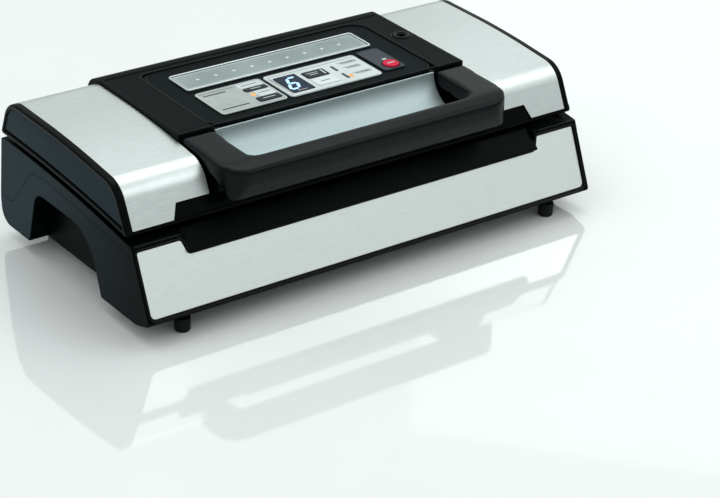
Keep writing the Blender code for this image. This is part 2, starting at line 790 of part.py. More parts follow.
def build_hinges():
    barrel_half = BARREL_LENGTH / 2.0
    for name, side in SIDES.items():
        middle = side * HINGE_X
        low, high = middle - barrel_half, middle + barrel_half
        axis_low, axis_high = (low, HINGE_Y, HINGE_Z), (high, HINGE_Y, HINGE_Z)
        bracket = cylinder(f"hinge_bracket_{name}", BARREL_R, axis_low, axis_high)
        neck_low = HINGE_Z - HINGE_RELIEF_R + 1.1
        neck = box(f"neck_{name}", (low + 0.6, HINGE_Y - 3.2, neck_low), (high - 0.6, HINGE_Y + 3.2, HINGE_Z))
        bore = cylinder(
            f"barrel_bore_{name}", HINGE_PIN_R + PIN_CLEAR,
            (low - 2.0, HINGE_Y, HINGE_Z), (high + 2.0, HINGE_Y, HINGE_Z), 24,
        )
        finish(cut(join(bracket, helper(neck)), helper(bore)), "iron")
        pin_half = barrel_half + 6.6
        pin = cylinder(
            f"hinge_pin_{name}", HINGE_PIN_R,
            (middle - pin_half, HINGE_Y, HINGE_Z), (middle + pin_half, HINGE_Y, HINGE_Z), 24,
        )
        finish(pin, "iron")


def inlet_corners(grow):
    rear = 116.0 if grow else INLET_FACE
    width, depth, height = INLET_SIZE
    return (
        (INLET_X - width / 2.0 - grow, INLET_FACE - depth, INLET_Z - height / 2.0 - grow),
        (INLET_X + width / 2.0 + grow, rear, INLET_Z + height / 2.0 + grow),
    )


def build_inside():
    floor = UNDERSIDE + CASING_WALL + GAP
    inlet = box("power_inlet", *inlet_corners(0.0), 0.6)
    width, depth, height = SOCKET_SIZE
    socket = box(
        "socket",
        (INLET_X - width / 2.0, INLET_FACE - depth, INLET_Z - height / 2.0),
        (INLET_X + width / 2.0, INLET_FACE + 3.0, INLET_Z + height / 2.0),
        2.0,
    )
    finish(cut(inlet, helper(socket)), "black_plastic")
    pump_x0, pump_x1, pump_y0, pump_y1, pump_height = PUMP
    pump = box("pump_body", (pump_x0, pump_y0, floor), (pump_x1, pump_y1, floor + pump_height), 2.0)
    hose_z = floor + HOSE_LIFT
    nozzle_end = pump_y0 - NOZZLE_LENGTH
    nozzle = cylinder("nozzle", NOZZLE_R, (HOSE_X, nozzle_end, hose_z), (HOSE_X, pump_y0 + 2.0, hose_z))
    finish(join(pump, helper(nozzle)), "black_plastic")
    motor_y, motor_z = (pump_y0 + pump_y1) / 2.0, floor + MOTOR_LIFT
    motor_ends = (pump_x1 + GAP, motor_y, motor_z), (MOTOR_END, motor_y, motor_z)
    finish(cylinder("pump_motor", MOTOR_R, *motor_ends), "iron")
    hose_end = TROUGH_REAR + CASING_WALL + 0.9
    hose_start = nozzle_end - GAP
    route = []
    for step, rise in enumerate((0.0, 0.0, 1.0, 2.0)):
        route.append((HOSE_X, hose_start + (hose_end - hose_start) * step / 3.0, hose_z + rise))
    finish(tube("vacuum_hose", route, HOSE_R), "tube")
    for name, area, rounding, material in (
        ("transformer", TRANSFORMER, 2.0, "iron"),
        ("power_board", POWER_BOARD, 0.0, "circuit"),
    ):
        x0, x1, y0, y1, height = area
        finish(box(name, (x0, y0, floor), (x1, y1, floor + height), rounding), material)


# ---- Lid ----------------------------------------------------------------------------------------------

def scoop_curve(grow, count=15):
    """The scoop's quarter ellipse from its top rear to its bottom front, moved outwards by grow."""
    centre = (SCOOP_BOTTOM[0], SCOOP_TOP[1])
    across = SCOOP_TOP[0] - SCOOP_BOTTOM[0] + grow
    down = SCOOP_TOP[1] - SCOOP_BOTTOM[1] + grow
    points = []
    for step in range(count):
        angle = math.radians(90.0 * step / (count - 1))
        points.append((centre[0] + across * math.cos(angle), centre[1] - down * math.sin(angle)))
    return points


def above_scoop(grow, top=150.0, front=-120.0):
    """Everything above and in front of the scoop's curve."""
    curve = scoop_curve(grow)
    return [(curve[0][0], top)] + curve + [(front, curve[-1][1]), (front, top)]


def cover_line(shift):
    """Space below the lower edge of the steel covers."""
    return [
        (-130.0, COVER_BOTTOM + shift),
        (-62.0, COVER_BOTTOM + shift),
        (70.0, COVER_REAR_Z + shift),
        (130.0, COVER_REAR_Z + shift),
        (130.0, 40.0),
        (-130.0, 40.0),
    ]


def lid_inside(distance):
    """The space inside the lid's side outline, at a distance from it and open downwards."""
    low = UNDERSIDE + 45.0
    corners = [
        (on_line(LID_TOE, LID_FOLD, low), low, 0.0),
        (*LID_FOLD, LID_FOLD_R),
        (*LID_CREST, LID_CREST_R),
        (*LID_REAR_TOP, LID_REAR_R),
        (on_line(LID_REAR_TOP, LID_HEEL, low), low, 0.0),
    ]
    return inset(rounded(corners), distance)


def build_lid_shell():
    side = HALF - CHEEK - GAP
    skin = SHEET + GAP
    shell = extrusion("lid_shell", [lid_outline()], -side, side)
    above = cover_line(-GAP)[:4] + [(130.0, 200.0), (-130.0, 200.0)]
    covers = extrusion("cover_space", [above], -HALF, HALF)
    within = extrusion("cover_seat", [lid_inside(skin)], -HALF - BEYOND, HALF + BEYOND)
    cut(covers, helper(within))
    cut(shell, helper(covers))

    inner = side - LID_WALL
    cavity = extrusion("lid_cavity", [lid_inside(skin + LID_WALL)], -inner, inner)
    pocket_half = HOUSING_HALF + GAP
    block_half = pocket_half + LID_WALL
    block_loop = above_scoop(SCOOP_SHEET + GAP + LID_WALL)
    block = extrusion("pocket_block", [block_loop], -block_half, block_half)
    cut(cavity, helper(block))
    cut(shell, helper(cavity))

    pocket = extrusion("pocket_cut", [above_scoop(SCOOP_SHEET + GAP)], -pocket_half, pocket_half)
    knuckles = []
    for name, way in SIDES.items():
        low, high = span(way, HANDLE_INNER - 0.8, pocket_half)
        room_low = HANDLE_PIVOT[1] - HANDLE_KNUCKLE_R - 0.6
        room = box(
            f"knuckle_room_{name}",
            (low, HANDLE_PIVOT[0] - 14.0, room_low), (high, HOUSING_FRONT, 140.0),
        )
        knuckles.append(helper(room))
    well = box("housing_well", (-pocket_half, HOUSING_FRONT - GAP, WELL_Z), (pocket_half, 125.0, 140.0))
    cut(shell, helper(pocket), *knuckles, helper(well))

    for name, way in SIDES.items():
        near, far = HINGE_X - BARREL_LENGTH / 2.0 - 0.5, HINGE_X + BARREL_LENGTH / 2.0 + 0.5
        low, high = span(way, near, far)
        space = box(f"hinge_space_{name}", (low, HINGE_Y - 7.4, 80.0), (high, 125.0, HINGE_Z + 6.4))
        lug_low, lug_high = span(way, near - LUG_LENGTH - 0.5, far + LUG_LENGTH + 0.5)
        lug = cylinder(f"lug_{name}", LUG_R, (lug_low, HINGE_Y, HINGE_Z), (lug_high, HINGE_Y, HINGE_Z))
        bore = cylinder(
            f"lug_bore_{name}", HINGE_PIN_R + PIN_CLEAR,
            (lug_low - 1.0, HINGE_Y, HINGE_Z), (lug_high + 1.0, HINGE_Y, HINGE_Z), 24,
        )
        pin_low, pin_high = span(way, HANDLE_HALF - 4.0, pocket_half + LID_WALL + 1.0)
        pin_bore = cylinder(
            f"pin_bore_{name}", HANDLE_PIN_R + PIN_CLEAR,
            (pin_low, *HANDLE_PIVOT), (pin_high, *HANDLE_PIVOT), 20,
        )
        shaft_low, shaft_high = span(way, inner - 2.0, side + 2.0)
        shaft_bore = cylinder(
            f"shaft_bore_{name}", LATCH_SHAFT_R + 0.3,
            (shaft_low, *LATCH_PIVOT), (shaft_high, *LATCH_PIVOT), 24,
        )
        join(shell, helper(lug))
        cut(shell, helper(space), helper(bore), helper(pin_bore), helper(shaft_bore))
    attach(finish(shell, "black_plastic"), LID)


def build_covers():
    side = HALF - CHEEK - GAP + 0.1
    for name, way in SIDES.items():
        low, high = span(way, HOUSING_HALF + GAP, side)
        cover = extrusion(f"steel_cover_{name}", [lid_outline()], low, high)
        hollow = extrusion(f"cover_hollow_{name}", [lid_inside(SHEET)], -HALF, HALF)
        below = extrusion(f"cover_below_{name}", [cover_line(0.0)], -HALF, HALF)
        top_half = NOTCH_HALF - 0.4
        notch = [
            (-top_half - COVER_FLARE, COVER_BOTTOM - 6.0),
            (top_half + COVER_FLARE, COVER_BOTTOM - 6.0),
            (top_half + COVER_FLARE, COVER_BOTTOM),
            (top_half, COVER_NOTCH_Z),
            (-top_half, COVER_NOTCH_Z),
            (-top_half - COVER_FLARE, COVER_BOTTOM),
        ]
        notch_cut = extrusion(f"cover_notch_{name}", [notch], -110.0, -50.0, "Y")
        cut(cover, helper(hollow), helper(below), helper(notch_cut))
        attach(finish(cover, "steel"), LID)
        low, high = span(way, HALF - CHEEK + 0.1, HALF)
        cheek = extrusion(f"cheek_{name}", [lid_outline()], low, high)
        attach(finish(cheek, "satin_plastic"), LID)


def build_tray():
    outline = [
        (LID_TOE[0] + 6.6, TRAY_Z), (DECK_REAR - 4.0, TRAY_Z), (DECK_REAR - 4.0, TRAY_Z + 22.0),
        (DECK_REAR - 6.4, TRAY_Z + 22.0), (DECK_REAR - 6.4, TRAY_Z + 2.6), (LID_TOE[0] + 6.6, TRAY_Z + 2.6),
    ]
    half = DECK_HALF - TRAY_INSET
    tray = extrusion("inner_tray", [outline], -half, half)
    rear = TROUGH_REAR - 1.0
    front = TROUGH_FRONT + 1.0
    pan = box("tray_pan", (-TROUGH_HALF + 1.0, front, TRAY_Z), (TROUGH_HALF - 1.0, rear, TRAY_Z + 10.0), 2.0)
    hollow = box(
        "pan_hollow",
        (-TROUGH_HALF + 3.4, front + 2.4, TRAY_Z - 4.0), (TROUGH_HALF - 3.4, rear - 2.4, TRAY_Z + 7.6), 1.5,
    )
    join(tray, helper(pan))
    cut(tray, helper(hollow))
    slot_half = LATCH_THICK / 2.0 + LATCH_SLOT_CLEAR
    for name, side in SIDES.items():
        low, high = span(side, LATCH_X - slot_half, LATCH_X + slot_half)
        slot = box(f"tray_slot_{name}", (low, LATCH_SLOT[0] + 4.0, 60.0), (high, LATCH_SLOT[1] - 1.0, 85.0))
        cut(tray, helper(slot))
    attach(finish(tray, "black_plastic"), LID)
    outer, inner = seal_rectangles()
    gasket = ring("upper_gasket", outer, inner, TRAY_Z - REST - SEAL_LIFT, TRAY_Z - REST, SEAL_CORNER_R)
    attach(finish(gasket, "rubber"), LID)
    strip = box(
        "pressure_strip",
        (-BAR_HALF, BAR_Y - BAR_WIDTH / 2.0, TRAY_Z - 2.3),
        (BAR_HALF, BAR_Y + BAR_WIDTH / 2.0, TRAY_Z - REST),
        0.6,
    )
    attach(finish(strip, "silicone"), LID)


def build_scoop():
    outer, inner = scoop_curve(SCOOP_SHEET), scoop_curve(0.0)
    loop = outer + inner[::-1]
    scoop = extrusion("scoop_cover", [loop], -SCOOP_HALF, SCOOP_HALF)
    attach(finish(scoop, "aluminium"), LID)


def panel_box(name, area, low, high, radius, grow=0.0):
    """A rounded flat piece in the panel's plane; heights are measured from the housing's top."""
    x0, x1, y0, y1 = area
    loop = rectangle(x0 - grow, x1 + grow, y0 - grow, y1 + grow, radius + grow)
    return extrusion(name, [loop], low, high, "Z")


def panel_recess_loop(grow=0.0):
    """The recess in the housing's top, which runs out to its front edge."""
    return rounded([
        (PANEL_LEFT - grow, -10.0, 0.0),
        (PANEL_RIGHT + grow, -10.0, 0.0),
        (PANEL_RIGHT + grow, PANEL_REAR + grow, 14.0),
        (PANEL_LEFT - grow, PANEL_REAR + grow, 8.0),
    ])


FASCIA_LOW = -PANEL_RECESS - FASCIA_THICK
KEY_TOP = -PANEL_RECESS + 1.5
KEY_FLOOR = FASCIA_LOW - 0.4 - KEY_TRAVEL


def panel_z(y):
    """World height of the housing's top plane."""
    return HOUSING_FRONT_Z + PANEL_SLOPE * (y - HOUSING_FRONT)


def build_housing():
    heel_in = (LID_HEEL[0] - 6.0, HOUSING_HEEL[1])
    outline = rounded([
        (HOUSING_FRONT, WELL_Z + GAP, 0.0),
        (HOUSING_FRONT, HOUSING_FRONT_Z, 0.8),
        (*HOUSING_REAR, 16.0),
        (*HOUSING_HEEL, 1.5),
        (*heel_in, 0.0),
        (heel_in[0] - 4.0, WELL_Z + GAP, 0.0),
    ])
    housing = extrusion("control_housing", [outline], -HOUSING_HALF, HOUSING_HALF)
    skin = extrusion("skin_cut", [lid_inside(SHEET)], -HALF, HALF)
    over = helper(box("skin_limit", (-HALF, -120.0, WELL_Z + GAP), (HALF, 130.0, 150.0)))
    cut(skin, over)
    thick = HOUSING_THICK
    inner = rounded([
        (HOUSING_FRONT + 2.6, 90.0, 0.0),
        (HOUSING_FRONT + 2.6, panel_z(HOUSING_FRONT) - thick, 0.0),
        (HOUSING_REAR[0] - 2.0, panel_z(HOUSING_REAR[0]) - thick, 12.0),
        (HOUSING_HEEL[0] - 5.0, WELL_Z - 4.0, 0.0),
        (HOUSING_HEEL[0] - 5.0, 90.0, 0.0),
    ])
    hollow = extrusion("housing_hollow", [inner], -HOUSING_HALF + 2.6, HOUSING_HALF - 2.6)
    cut(housing, helper(skin), helper(hollow))
    for name, way in SIDES.items():
        reach = BARREL_LENGTH / 2.0 + 0.5
        low, high = span(way, HINGE_X - reach, HINGE_X + reach)
        space = box(f"skirt_space_{name}", (low, 95.0, 80.0), (high, 125.0, HINGE_Z + 6.4))
        cut(housing, helper(space))
    recess = extrusion("recess_cut", [panel_recess_loop()], -PANEL_RECESS - FASCIA_THICK - GAP, 8.0, "Z")
    lay(helper(recess), PANEL)
    cut(housing, recess)
    for key, area in KEYS.items():
        hole = panel_box(f"housing_hole_{key}", area, -12.0, 4.0, 1.5, KEY_CLEAR + 0.5)
        cut(housing, lay(helper(hole), PANEL))
    for name, (x, y), radius in (("stop", STOP_XY, STOP_R + 0.8), ("port", PORT_XY, PORT_R + 0.3)):
        hole = cylinder(f"housing_hole_{name}", radius, (x, y, -12.0), (x, y, 4.0))
        cut(housing, lay(helper(hole), PANEL))
    attach(finish(housing, "satin_plastic"), LID)


def build_panel():
    low, high = FASCIA_LOW, -PANEL_RECESS
    loop = rounded([
        (PANEL_LEFT + GAP, 0.6, 14.0),
        (PANEL_RIGHT - GAP, 0.6, 14.0),
        (PANEL_RIGHT - GAP, PANEL_REAR - GAP, 13.6),
        (PANEL_LEFT + GAP, PANEL_REAR - GAP, 7.6),
    ])
    fascia = extrusion("fascia", [loop], low, high, "Z")
    top = high + REST + PLATE_THICK
    plates = {}
    for name, area in (
        ("key_plate_left", LEFT_PLATE),
        ("key_plate_right", RIGHT_PLATE),
        ("stop_tile", STOP_TILE),
    ):
        plates[name] = extrusion(name, [rectangle(*area, 3.0)], high + REST, top, "Z")
    holes = []
    for key, area in KEYS.items():
        hole = lay(helper(panel_box(f"hole_{key}", area, -12.0, 4.0, 1.5, KEY_CLEAR)), PANEL)
        holes.append(hole)
        plate = "key_plate_left" if area[1] < LEFT_PLATE[1] else "key_plate_right"
        cut(plates[plate], hole)
    stop = cylinder("hole_stop", STOP_R + KEY_CLEAR, (*STOP_XY, -12.0), (*STOP_XY, 4.0))
    lay(helper(stop), PANEL)
    cut(plates["stop_tile"], stop)
    cut(fascia, *holes, stop)
    window = lay(helper(panel_box("hole_display", DISPLAY, -12.0, 4.0, 1.5, 0.3)), PANEL)
    cut(plates["key_plate_right"], window)
    lay(finish(fascia, "satin_plastic"), PANEL)
    for plate in plates.values():
        lay(finish(plate, "key_grey"), PANEL)
    decor = extrusion("decor_plate", [rectangle(*DECOR, 3.0)], high + REST, top, "Z")
    lay(finish(decor, "aluminium"), PANEL)
    display = panel_box("display_window", DISPLAY, high + REST, top + 0.2, 1.5)
    lay(finish(display, "display"), PANEL)

    for key, area in KEYS.items():
        cap = panel_box(key, area, KEY_FLOOR, KEY_TOP, 1.5)
        lay(finish(cap, "key_light" if key == "key_seal" else "key_dark"), PANEL)
    button = cylinder("stop_button", STOP_R, (*STOP_XY, KEY_FLOOR), (*STOP_XY, KEY_TOP + 0.6))
    lay(finish(button, "red"), PANEL)

    profile = [
        (PORT_HOLE_R, -8.0), (PORT_R, -8.0), (PORT_R, 0.4), (PORT_R - 0.6, 1.0), (PORT_R - 2.0, 1.0),
        (PORT_R - 2.6, 0.2), (PORT_HOLE_R + 0.6, 0.2), (PORT_HOLE_R, -0.4), (PORT_HOLE_R, -8.0),
    ]
    port = turned("hose_port", profile[::-1], 36)
    port.location = Vector((*PORT_XY, 0.0)) * MM
    lay(finish(port, "gloss_plastic"), PANEL)
    board_top = -HOUSING_THICK - 4.4
    x0, x1, y0, y1, thick = CONTROL_BOARD
    board = box("control_board", (x0, y0, board_top - thick), (x1, y1, board_top))
    lay(finish(board, "circuit"), PANEL)


# ---- Handle and latch ---------------------------------------------------------------------------------

def handle_plan():
    """The U-shaped handle from above."""
    rear = HANDLE_PIVOT[0] + 12.0
    right = [
        (HANDLE_HALF, rear, 0.0),
        (HANDLE_INNER, rear, 0.0),
        (HANDLE_INNER, HANDLE_BAR_REAR, 9.0),
    ]
    left = [(-x, y, radius) for x, y, radius in reversed(right)]
    front = [(-HANDLE_HALF, HANDLE_FRONT, 20.0), (HANDLE_HALF, HANDLE_FRONT, 20.0)]
    return rounded(right + left + front, 8)


def handle_profile():
    """The handle from the side: knuckle at the rear, arm, and the deep front bar."""
    top_rear, top_front = HANDLE_TOP
    knuckle = []
    for step in range(9):
        angle = math.radians(-100.0 + 100.0 * step / 8.0)
        knuckle.append((
            HANDLE_PIVOT[0] + HANDLE_KNUCKLE_R * math.cos(angle),
            HANDLE_PIVOT[1] + HANDLE_KNUCKLE_R * math.sin(angle),
            0.0,
        ))
    return rounded(knuckle + [
        (HANDLE_REAR, top_rear, 0.6),
        (HANDLE_FRONT + 14.0, top_front + 0.8, 20.0),
        (HANDLE_FRONT, top_front - 2.6, 3.0),
        (HANDLE_FRONT + 1.0, HANDLE_BOTTOM + 12.0, 12.0),
        (HANDLE_FRONT + 4.5, HANDLE_BOTTOM, 2.0),
        (HANDLE_FRONT + 10.0, HANDLE_BOTTOM, 2.0),
        (HANDLE_BAR_REAR, HANDLE_BOTTOM + 12.5, 4.0),
        (HANDLE_PIVOT[0] - 14.0, HANDLE_PIVOT[1] - 5.5, 6.0),
    ])


def build_handle():
    handle = extrusion("handle", [handle_profile()], -HANDLE_HALF - 1.0, HANDLE_HALF + 1.0)
    plan = extrusion("handle_plan", [handle_plan()], 60.0, 140.0, "Z")
    boolean(handle, "INTERSECT", helper(plan))
    for name, side in SIDES.items():
        near, far = HANDLE_HALF - 16.0, HOUSING_HALF + GAP + LID_WALL - 0.4
        low, high = span(side, near, far)
        pin = cylinder(f"handle_pin_{name}", HANDLE_PIN_R, (low, *HANDLE_PIVOT), (high, *HANDLE_PIVOT), 20)
        bore_low, bore_high = span(side, near - 0.4, far + 3.0)
        bore = cylinder(
            f"handle_bore_{name}", HANDLE_PIN_R + PIN_CLEAR,
            (bore_low, *HANDLE_PIVOT), (bore_high, *HANDLE_PIVOT), 20,
        )
        cut(handle, helper(bore))
        attach(finish(pin, "iron"), LID)
    attach(finish(handle, "black_plastic"), HANDLE)


def build_latch():
    y, z = LATCH_PIVOT
    reach = HALF - CHEEK - GAP - 0.8
    shaft = cylinder("latch_shaft", LATCH_SHAFT_R, (-reach, y, z), (reach, y, z), 28)
    attach(finish(shaft, "iron"), LATCH)
    half = LATCH_WIDTH / 2.0
    outline = rounded([
        (y - half, z + 6.0, 4.0),
        (y + half, z + 6.0, 4.0),
        (y + half, LATCH_TIP_Z + 4.0, 0.6),
        (y + half + LATCH_NOSE, LATCH_TIP_Z + 4.0, 0.6),
        (y + half, LATCH_TIP_Z, 0.8),
        (y - half, LATCH_TIP_Z, 2.0),
    ], 4)
    for name, side in SIDES.items():
        low, high = span(side, LATCH_X - LATCH_THICK / 2.0, LATCH_X + LATCH_THICK / 2.0)
        hook = extrusion(f"latch_hook_{name}", [outline], low, high)
        bore = cylinder(
            f"hook_bore_{name}", LATCH_SHAFT_R + PIN_CLEAR, (low - 2.0, y, z), (high + 2.0, y, z), 28
        )
        cut(hook, helper(bore))
        attach(finish(hook, "black_plastic"), LATCH)


build_casings()
build_screws_and_feet()
build_front()
build_deck_pieces()
build_hinges()
build_inside()
build_lid_shell()
build_covers()
build_tray()
build_scoop()
build_housing()
build_panel()
build_handle()
build_latch()
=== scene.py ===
"""Looks of the vacuum sealer: a detailed surface for each CAD node, procedural materials, a plain studio.

Everything is in metres in the row frame: +X to the right, -Y to the front, +Z up. Sizes are written in
millimetres and multiplied by MM. Places come from the CAD nodes' boxes and outlines.
"""

import json
import math

import bmesh
import bpy
from mathutils import Matrix, Vector


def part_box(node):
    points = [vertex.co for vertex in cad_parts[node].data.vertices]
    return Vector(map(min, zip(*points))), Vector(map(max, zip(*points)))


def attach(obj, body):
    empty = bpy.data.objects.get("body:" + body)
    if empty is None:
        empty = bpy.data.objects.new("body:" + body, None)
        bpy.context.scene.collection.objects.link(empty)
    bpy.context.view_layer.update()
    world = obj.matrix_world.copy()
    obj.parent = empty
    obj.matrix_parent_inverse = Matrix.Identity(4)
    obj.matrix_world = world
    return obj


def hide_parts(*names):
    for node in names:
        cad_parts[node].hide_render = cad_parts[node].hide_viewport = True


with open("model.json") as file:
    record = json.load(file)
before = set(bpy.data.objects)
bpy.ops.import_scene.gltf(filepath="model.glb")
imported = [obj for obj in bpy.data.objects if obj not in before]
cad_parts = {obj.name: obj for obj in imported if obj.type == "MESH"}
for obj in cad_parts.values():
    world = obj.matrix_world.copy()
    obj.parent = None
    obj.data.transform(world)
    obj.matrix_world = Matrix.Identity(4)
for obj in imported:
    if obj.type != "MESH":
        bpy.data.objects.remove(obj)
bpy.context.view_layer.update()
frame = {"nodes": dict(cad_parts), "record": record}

MM = 0.001
NODES = frame["nodes"]
SIDES = {"left": -1.0, "right": 1.0}
BODY_OF = {node: body for body, members in frame["record"]["behaviour"]["bodies"].items() for node in members}
SLOT_OF = {row["node"]: row["material_slot"] for row in frame["record"]["subparts"]}


# ---- Camera -------------------------------------------------------------------------------------------

CAMERA_AT = Vector((-883.73, -1277.05, 770.21)) * MM
CAMERA_TARGET = Vector((39.3, -27.5, -24.44)) * MM
CAMERA_ROLL = math.radians(1.33)
LENS = 109.73                 # mm, on a sensor of SENSOR_WIDTH
SENSOR_WIDTH = 36.0
CLIP_NEAR, CLIP_FAR = 0.05, 20.0


def make_camera():
    back = (CAMERA_AT - CAMERA_TARGET).normalized()
    right = Vector((0.0, 0.0, 1.0)).cross(back).normalized()
    up = back.cross(right)
    turned_right = right * math.cos(CAMERA_ROLL) + up * math.sin(CAMERA_ROLL)
    turned_up = up * math.cos(CAMERA_ROLL) - right * math.sin(CAMERA_ROLL)
    camera = bpy.data.objects.new("camera", bpy.data.cameras.new("camera"))
    bpy.context.scene.collection.objects.link(camera)
    turned = Matrix((turned_right, turned_up, back)).transposed().to_4x4()
    camera.matrix_world = Matrix.Translation(CAMERA_AT) @ turned
    camera.data.lens = LENS
    camera.data.sensor_width = SENSOR_WIDTH
    camera.data.clip_start = CLIP_NEAR
    camera.data.clip_end = CLIP_FAR
    bpy.context.scene.camera = camera


# ---- Studio -------------------------------------------------------------------------------------------

LIGHT_TINT = (0.93, 1.0, 0.98)
WORLD_STRENGTH = 0.85
SKY_LOW = (0.64, 0.70, 0.69, 1.0)
SKY_HIGH = (0.93, 1.0, 0.985, 1.0)
SKY_HEIGHTS = (0.15, 0.5)     # heights of a direction between which the sky brightens
FLOOR_SIZE = 4.0
SOFTBOXES = (                 # name, place, target, size, watts
    ("top_softbox", (0.1, 0.45, 1.5), (0.0, 0.0, 0.05), (1.6, 1.0), 7.5),
    ("fold_softbox", (0.85, -0.62, 1.15), (0.0, -0.05, 0.1), (1.4, 0.5), 3.0),
    ("left_softbox", (-1.5, 0.5, 0.8), (-0.1, 0.0, 0.05), (1.0, 0.7), 1.2),
    ("rear_softbox", (1.65, 1.35, 1.0), (0.1, 0.0, 0.1), (0.7, 0.9), 0.7),
)


def area_light(name, place, target, size, energy):
    data = bpy.data.lights.new(name, "AREA")
    data.shape = "RECTANGLE"
    data.size, data.size_y = size
    data.energy = energy
    data.color = LIGHT_TINT
    light = bpy.data.objects.new(name, data)
    light.location = place
    light.rotation_euler = (Vector(target) - Vector(place)).to_track_quat("-Z", "Y").to_euler()
    bpy.context.scene.collection.objects.link(light)


def make_world():
    """A pale surround that brightens with height."""
    world = bpy.data.worlds.new("studio")
    world.use_nodes = True
    background = world.node_tree.nodes["Background"]
    background.inputs["Strength"].default_value = WORLD_STRENGTH
    tree = world.node_tree
    direction = node(tree, "ShaderNodeSeparateXYZ")
    tree.links.new(node(tree, "ShaderNodeTexCoord").outputs["Generated"], direction.inputs["Vector"])
    height = mapped(tree, direction.outputs["Z"], SKY_HEIGHTS, (0.0, 1.0))
    sky = node(tree, "ShaderNodeMix", data_type="RGBA")
    sky.inputs["A"].default_value = SKY_LOW
    sky.inputs["B"].default_value = SKY_HIGH
    tree.links.new(height, sky.inputs["Factor"])
    tree.links.new(sky.outputs["Result"], background.inputs["Color"])
    bpy.context.scene.world = world


def make_studio():
    make_world()
    bpy.context.scene.view_settings.view_transform = "Standard"
    for softbox in SOFTBOXES:
        area_light(*softbox)
    bm = bmesh.new()
    bmesh.ops.create_grid(bm, x_segments=8, y_segments=8, size=FLOOR_SIZE)
    floor = mesh_object("floor", bm)
    floor.data.materials.append(floor_material())
    bpy.context.scene.collection.objects.link(floor)


# ---- Materials ----------------------------------------------------------------------------------------

NOISE_LOW, NOISE_HIGH = 0.3, 0.7          # where most of a noise texture's values lie
BROAD_DETAIL, FINE_DETAIL = 3.0, 5.0
BUMP_DISTANCE = 0.0004
COAT_ROUGHNESS = 0.08


def node(tree, kind, inputs=(), **settings):
    made = tree.nodes.new(kind)
    for name, value in settings.items():
        setattr(made, name, value)
    for name, value in dict(inputs).items():
        made.inputs[name].default_value = value
    return made


def scaled_coordinates(tree, scale):
    """The object's own coordinates, stretched by a scale per axis."""
    coordinates = node(tree, "ShaderNodeTexCoord")
    mapping = node(tree, "ShaderNodeMapping", {"Scale": scale})
    tree.links.new(coordinates.outputs["Object"], mapping.inputs["Vector"])
    return mapping.outputs["Vector"]


def noise(tree, scale, detail, stretch):
    made = node(tree, "ShaderNodeTexNoise", {"Scale": scale, "Detail": detail})
    tree.links.new(scaled_coordinates(tree, stretch), made.inputs["Vector"])
    return made.outputs["Fac"]


def mapped(tree, value, source, target):
    """A value carried from one range to another."""
    made = node(
        tree,
        "ShaderNodeMapRange",
        {"From Min": source[0], "From Max": source[1], "To Min": target[0], "To Max": target[1]},
    )
    tree.links.new(value, made.inputs["Value"])
    return made.outputs["Result"]


def ranged(tree, value, low, high):
    """A noise spread between two values."""
    return mapped(tree, value, (NOISE_LOW, NOISE_HIGH), (low, high))


def blended(tree, value, first, second):
    made = node(tree, "ShaderNodeMix", data_type="RGBA")
    made.inputs["A"].default_value = (*first, 1.0)
    made.inputs["B"].default_value = (*second, 1.0)
    tree.links.new(ranged(tree, value, 0.0, 1.0), made.inputs["Factor"])
    return made.outputs["Result"]


def bumped(tree, shader, value, strength):
    made = node(tree, "ShaderNodeBump", {"Strength": strength, "Distance": BUMP_DISTANCE})
    tree.links.new(value, made.inputs["Height"])
    tree.links.new(made.outputs["Normal"], shader.inputs["Normal"])


def surface(
    name, dark, light, roughness, grain, bump,
    metallic=0.0, coat=0.0, stretch=(1.0, 1.0, 1.0), broad=9.0, specular=0.5,
):
    """A material whose colour drifts broadly and whose roughness and bump follow a fine grain."""
    material = bpy.data.materials.new(name)
    material.use_nodes = True
    tree = material.node_tree
    shader = tree.nodes["Principled BSDF"]
    shader.inputs["Metallic"].default_value = metallic
    shader.inputs["Coat Weight"].default_value = coat
    shader.inputs["Specular IOR Level"].default_value = specular
    shader.inputs["Coat Roughness"].default_value = COAT_ROUGHNESS
    drift = noise(tree, broad, BROAD_DETAIL, stretch)
    tree.links.new(blended(tree, drift, dark, light), shader.inputs["Base Color"])
    fine = noise(tree, grain, FINE_DETAIL, stretch)
    tree.links.new(ranged(tree, fine, *roughness), shader.inputs["Roughness"])
    bumped(tree, shader, fine, bump)
    material.diffuse_color = (*light, 1.0)
    return material


CASING_FLANK = (0.2032, 0.2039)           # |x| over which the front's black turns into the flat side
CASING_PAINTED_SHADE_Y = (-0.090, 0.06)              # y over which painted shade on the side gives way to the side's colour, darkest at the front
# share of the side's colour from front to rear: painted shade, near black at the front
CASING_PAINTED_SHADE_SHARES = (0.04, 1.1)
CASING_BLACK = (0.0008, 0.0018, 0.0020, 1.0)


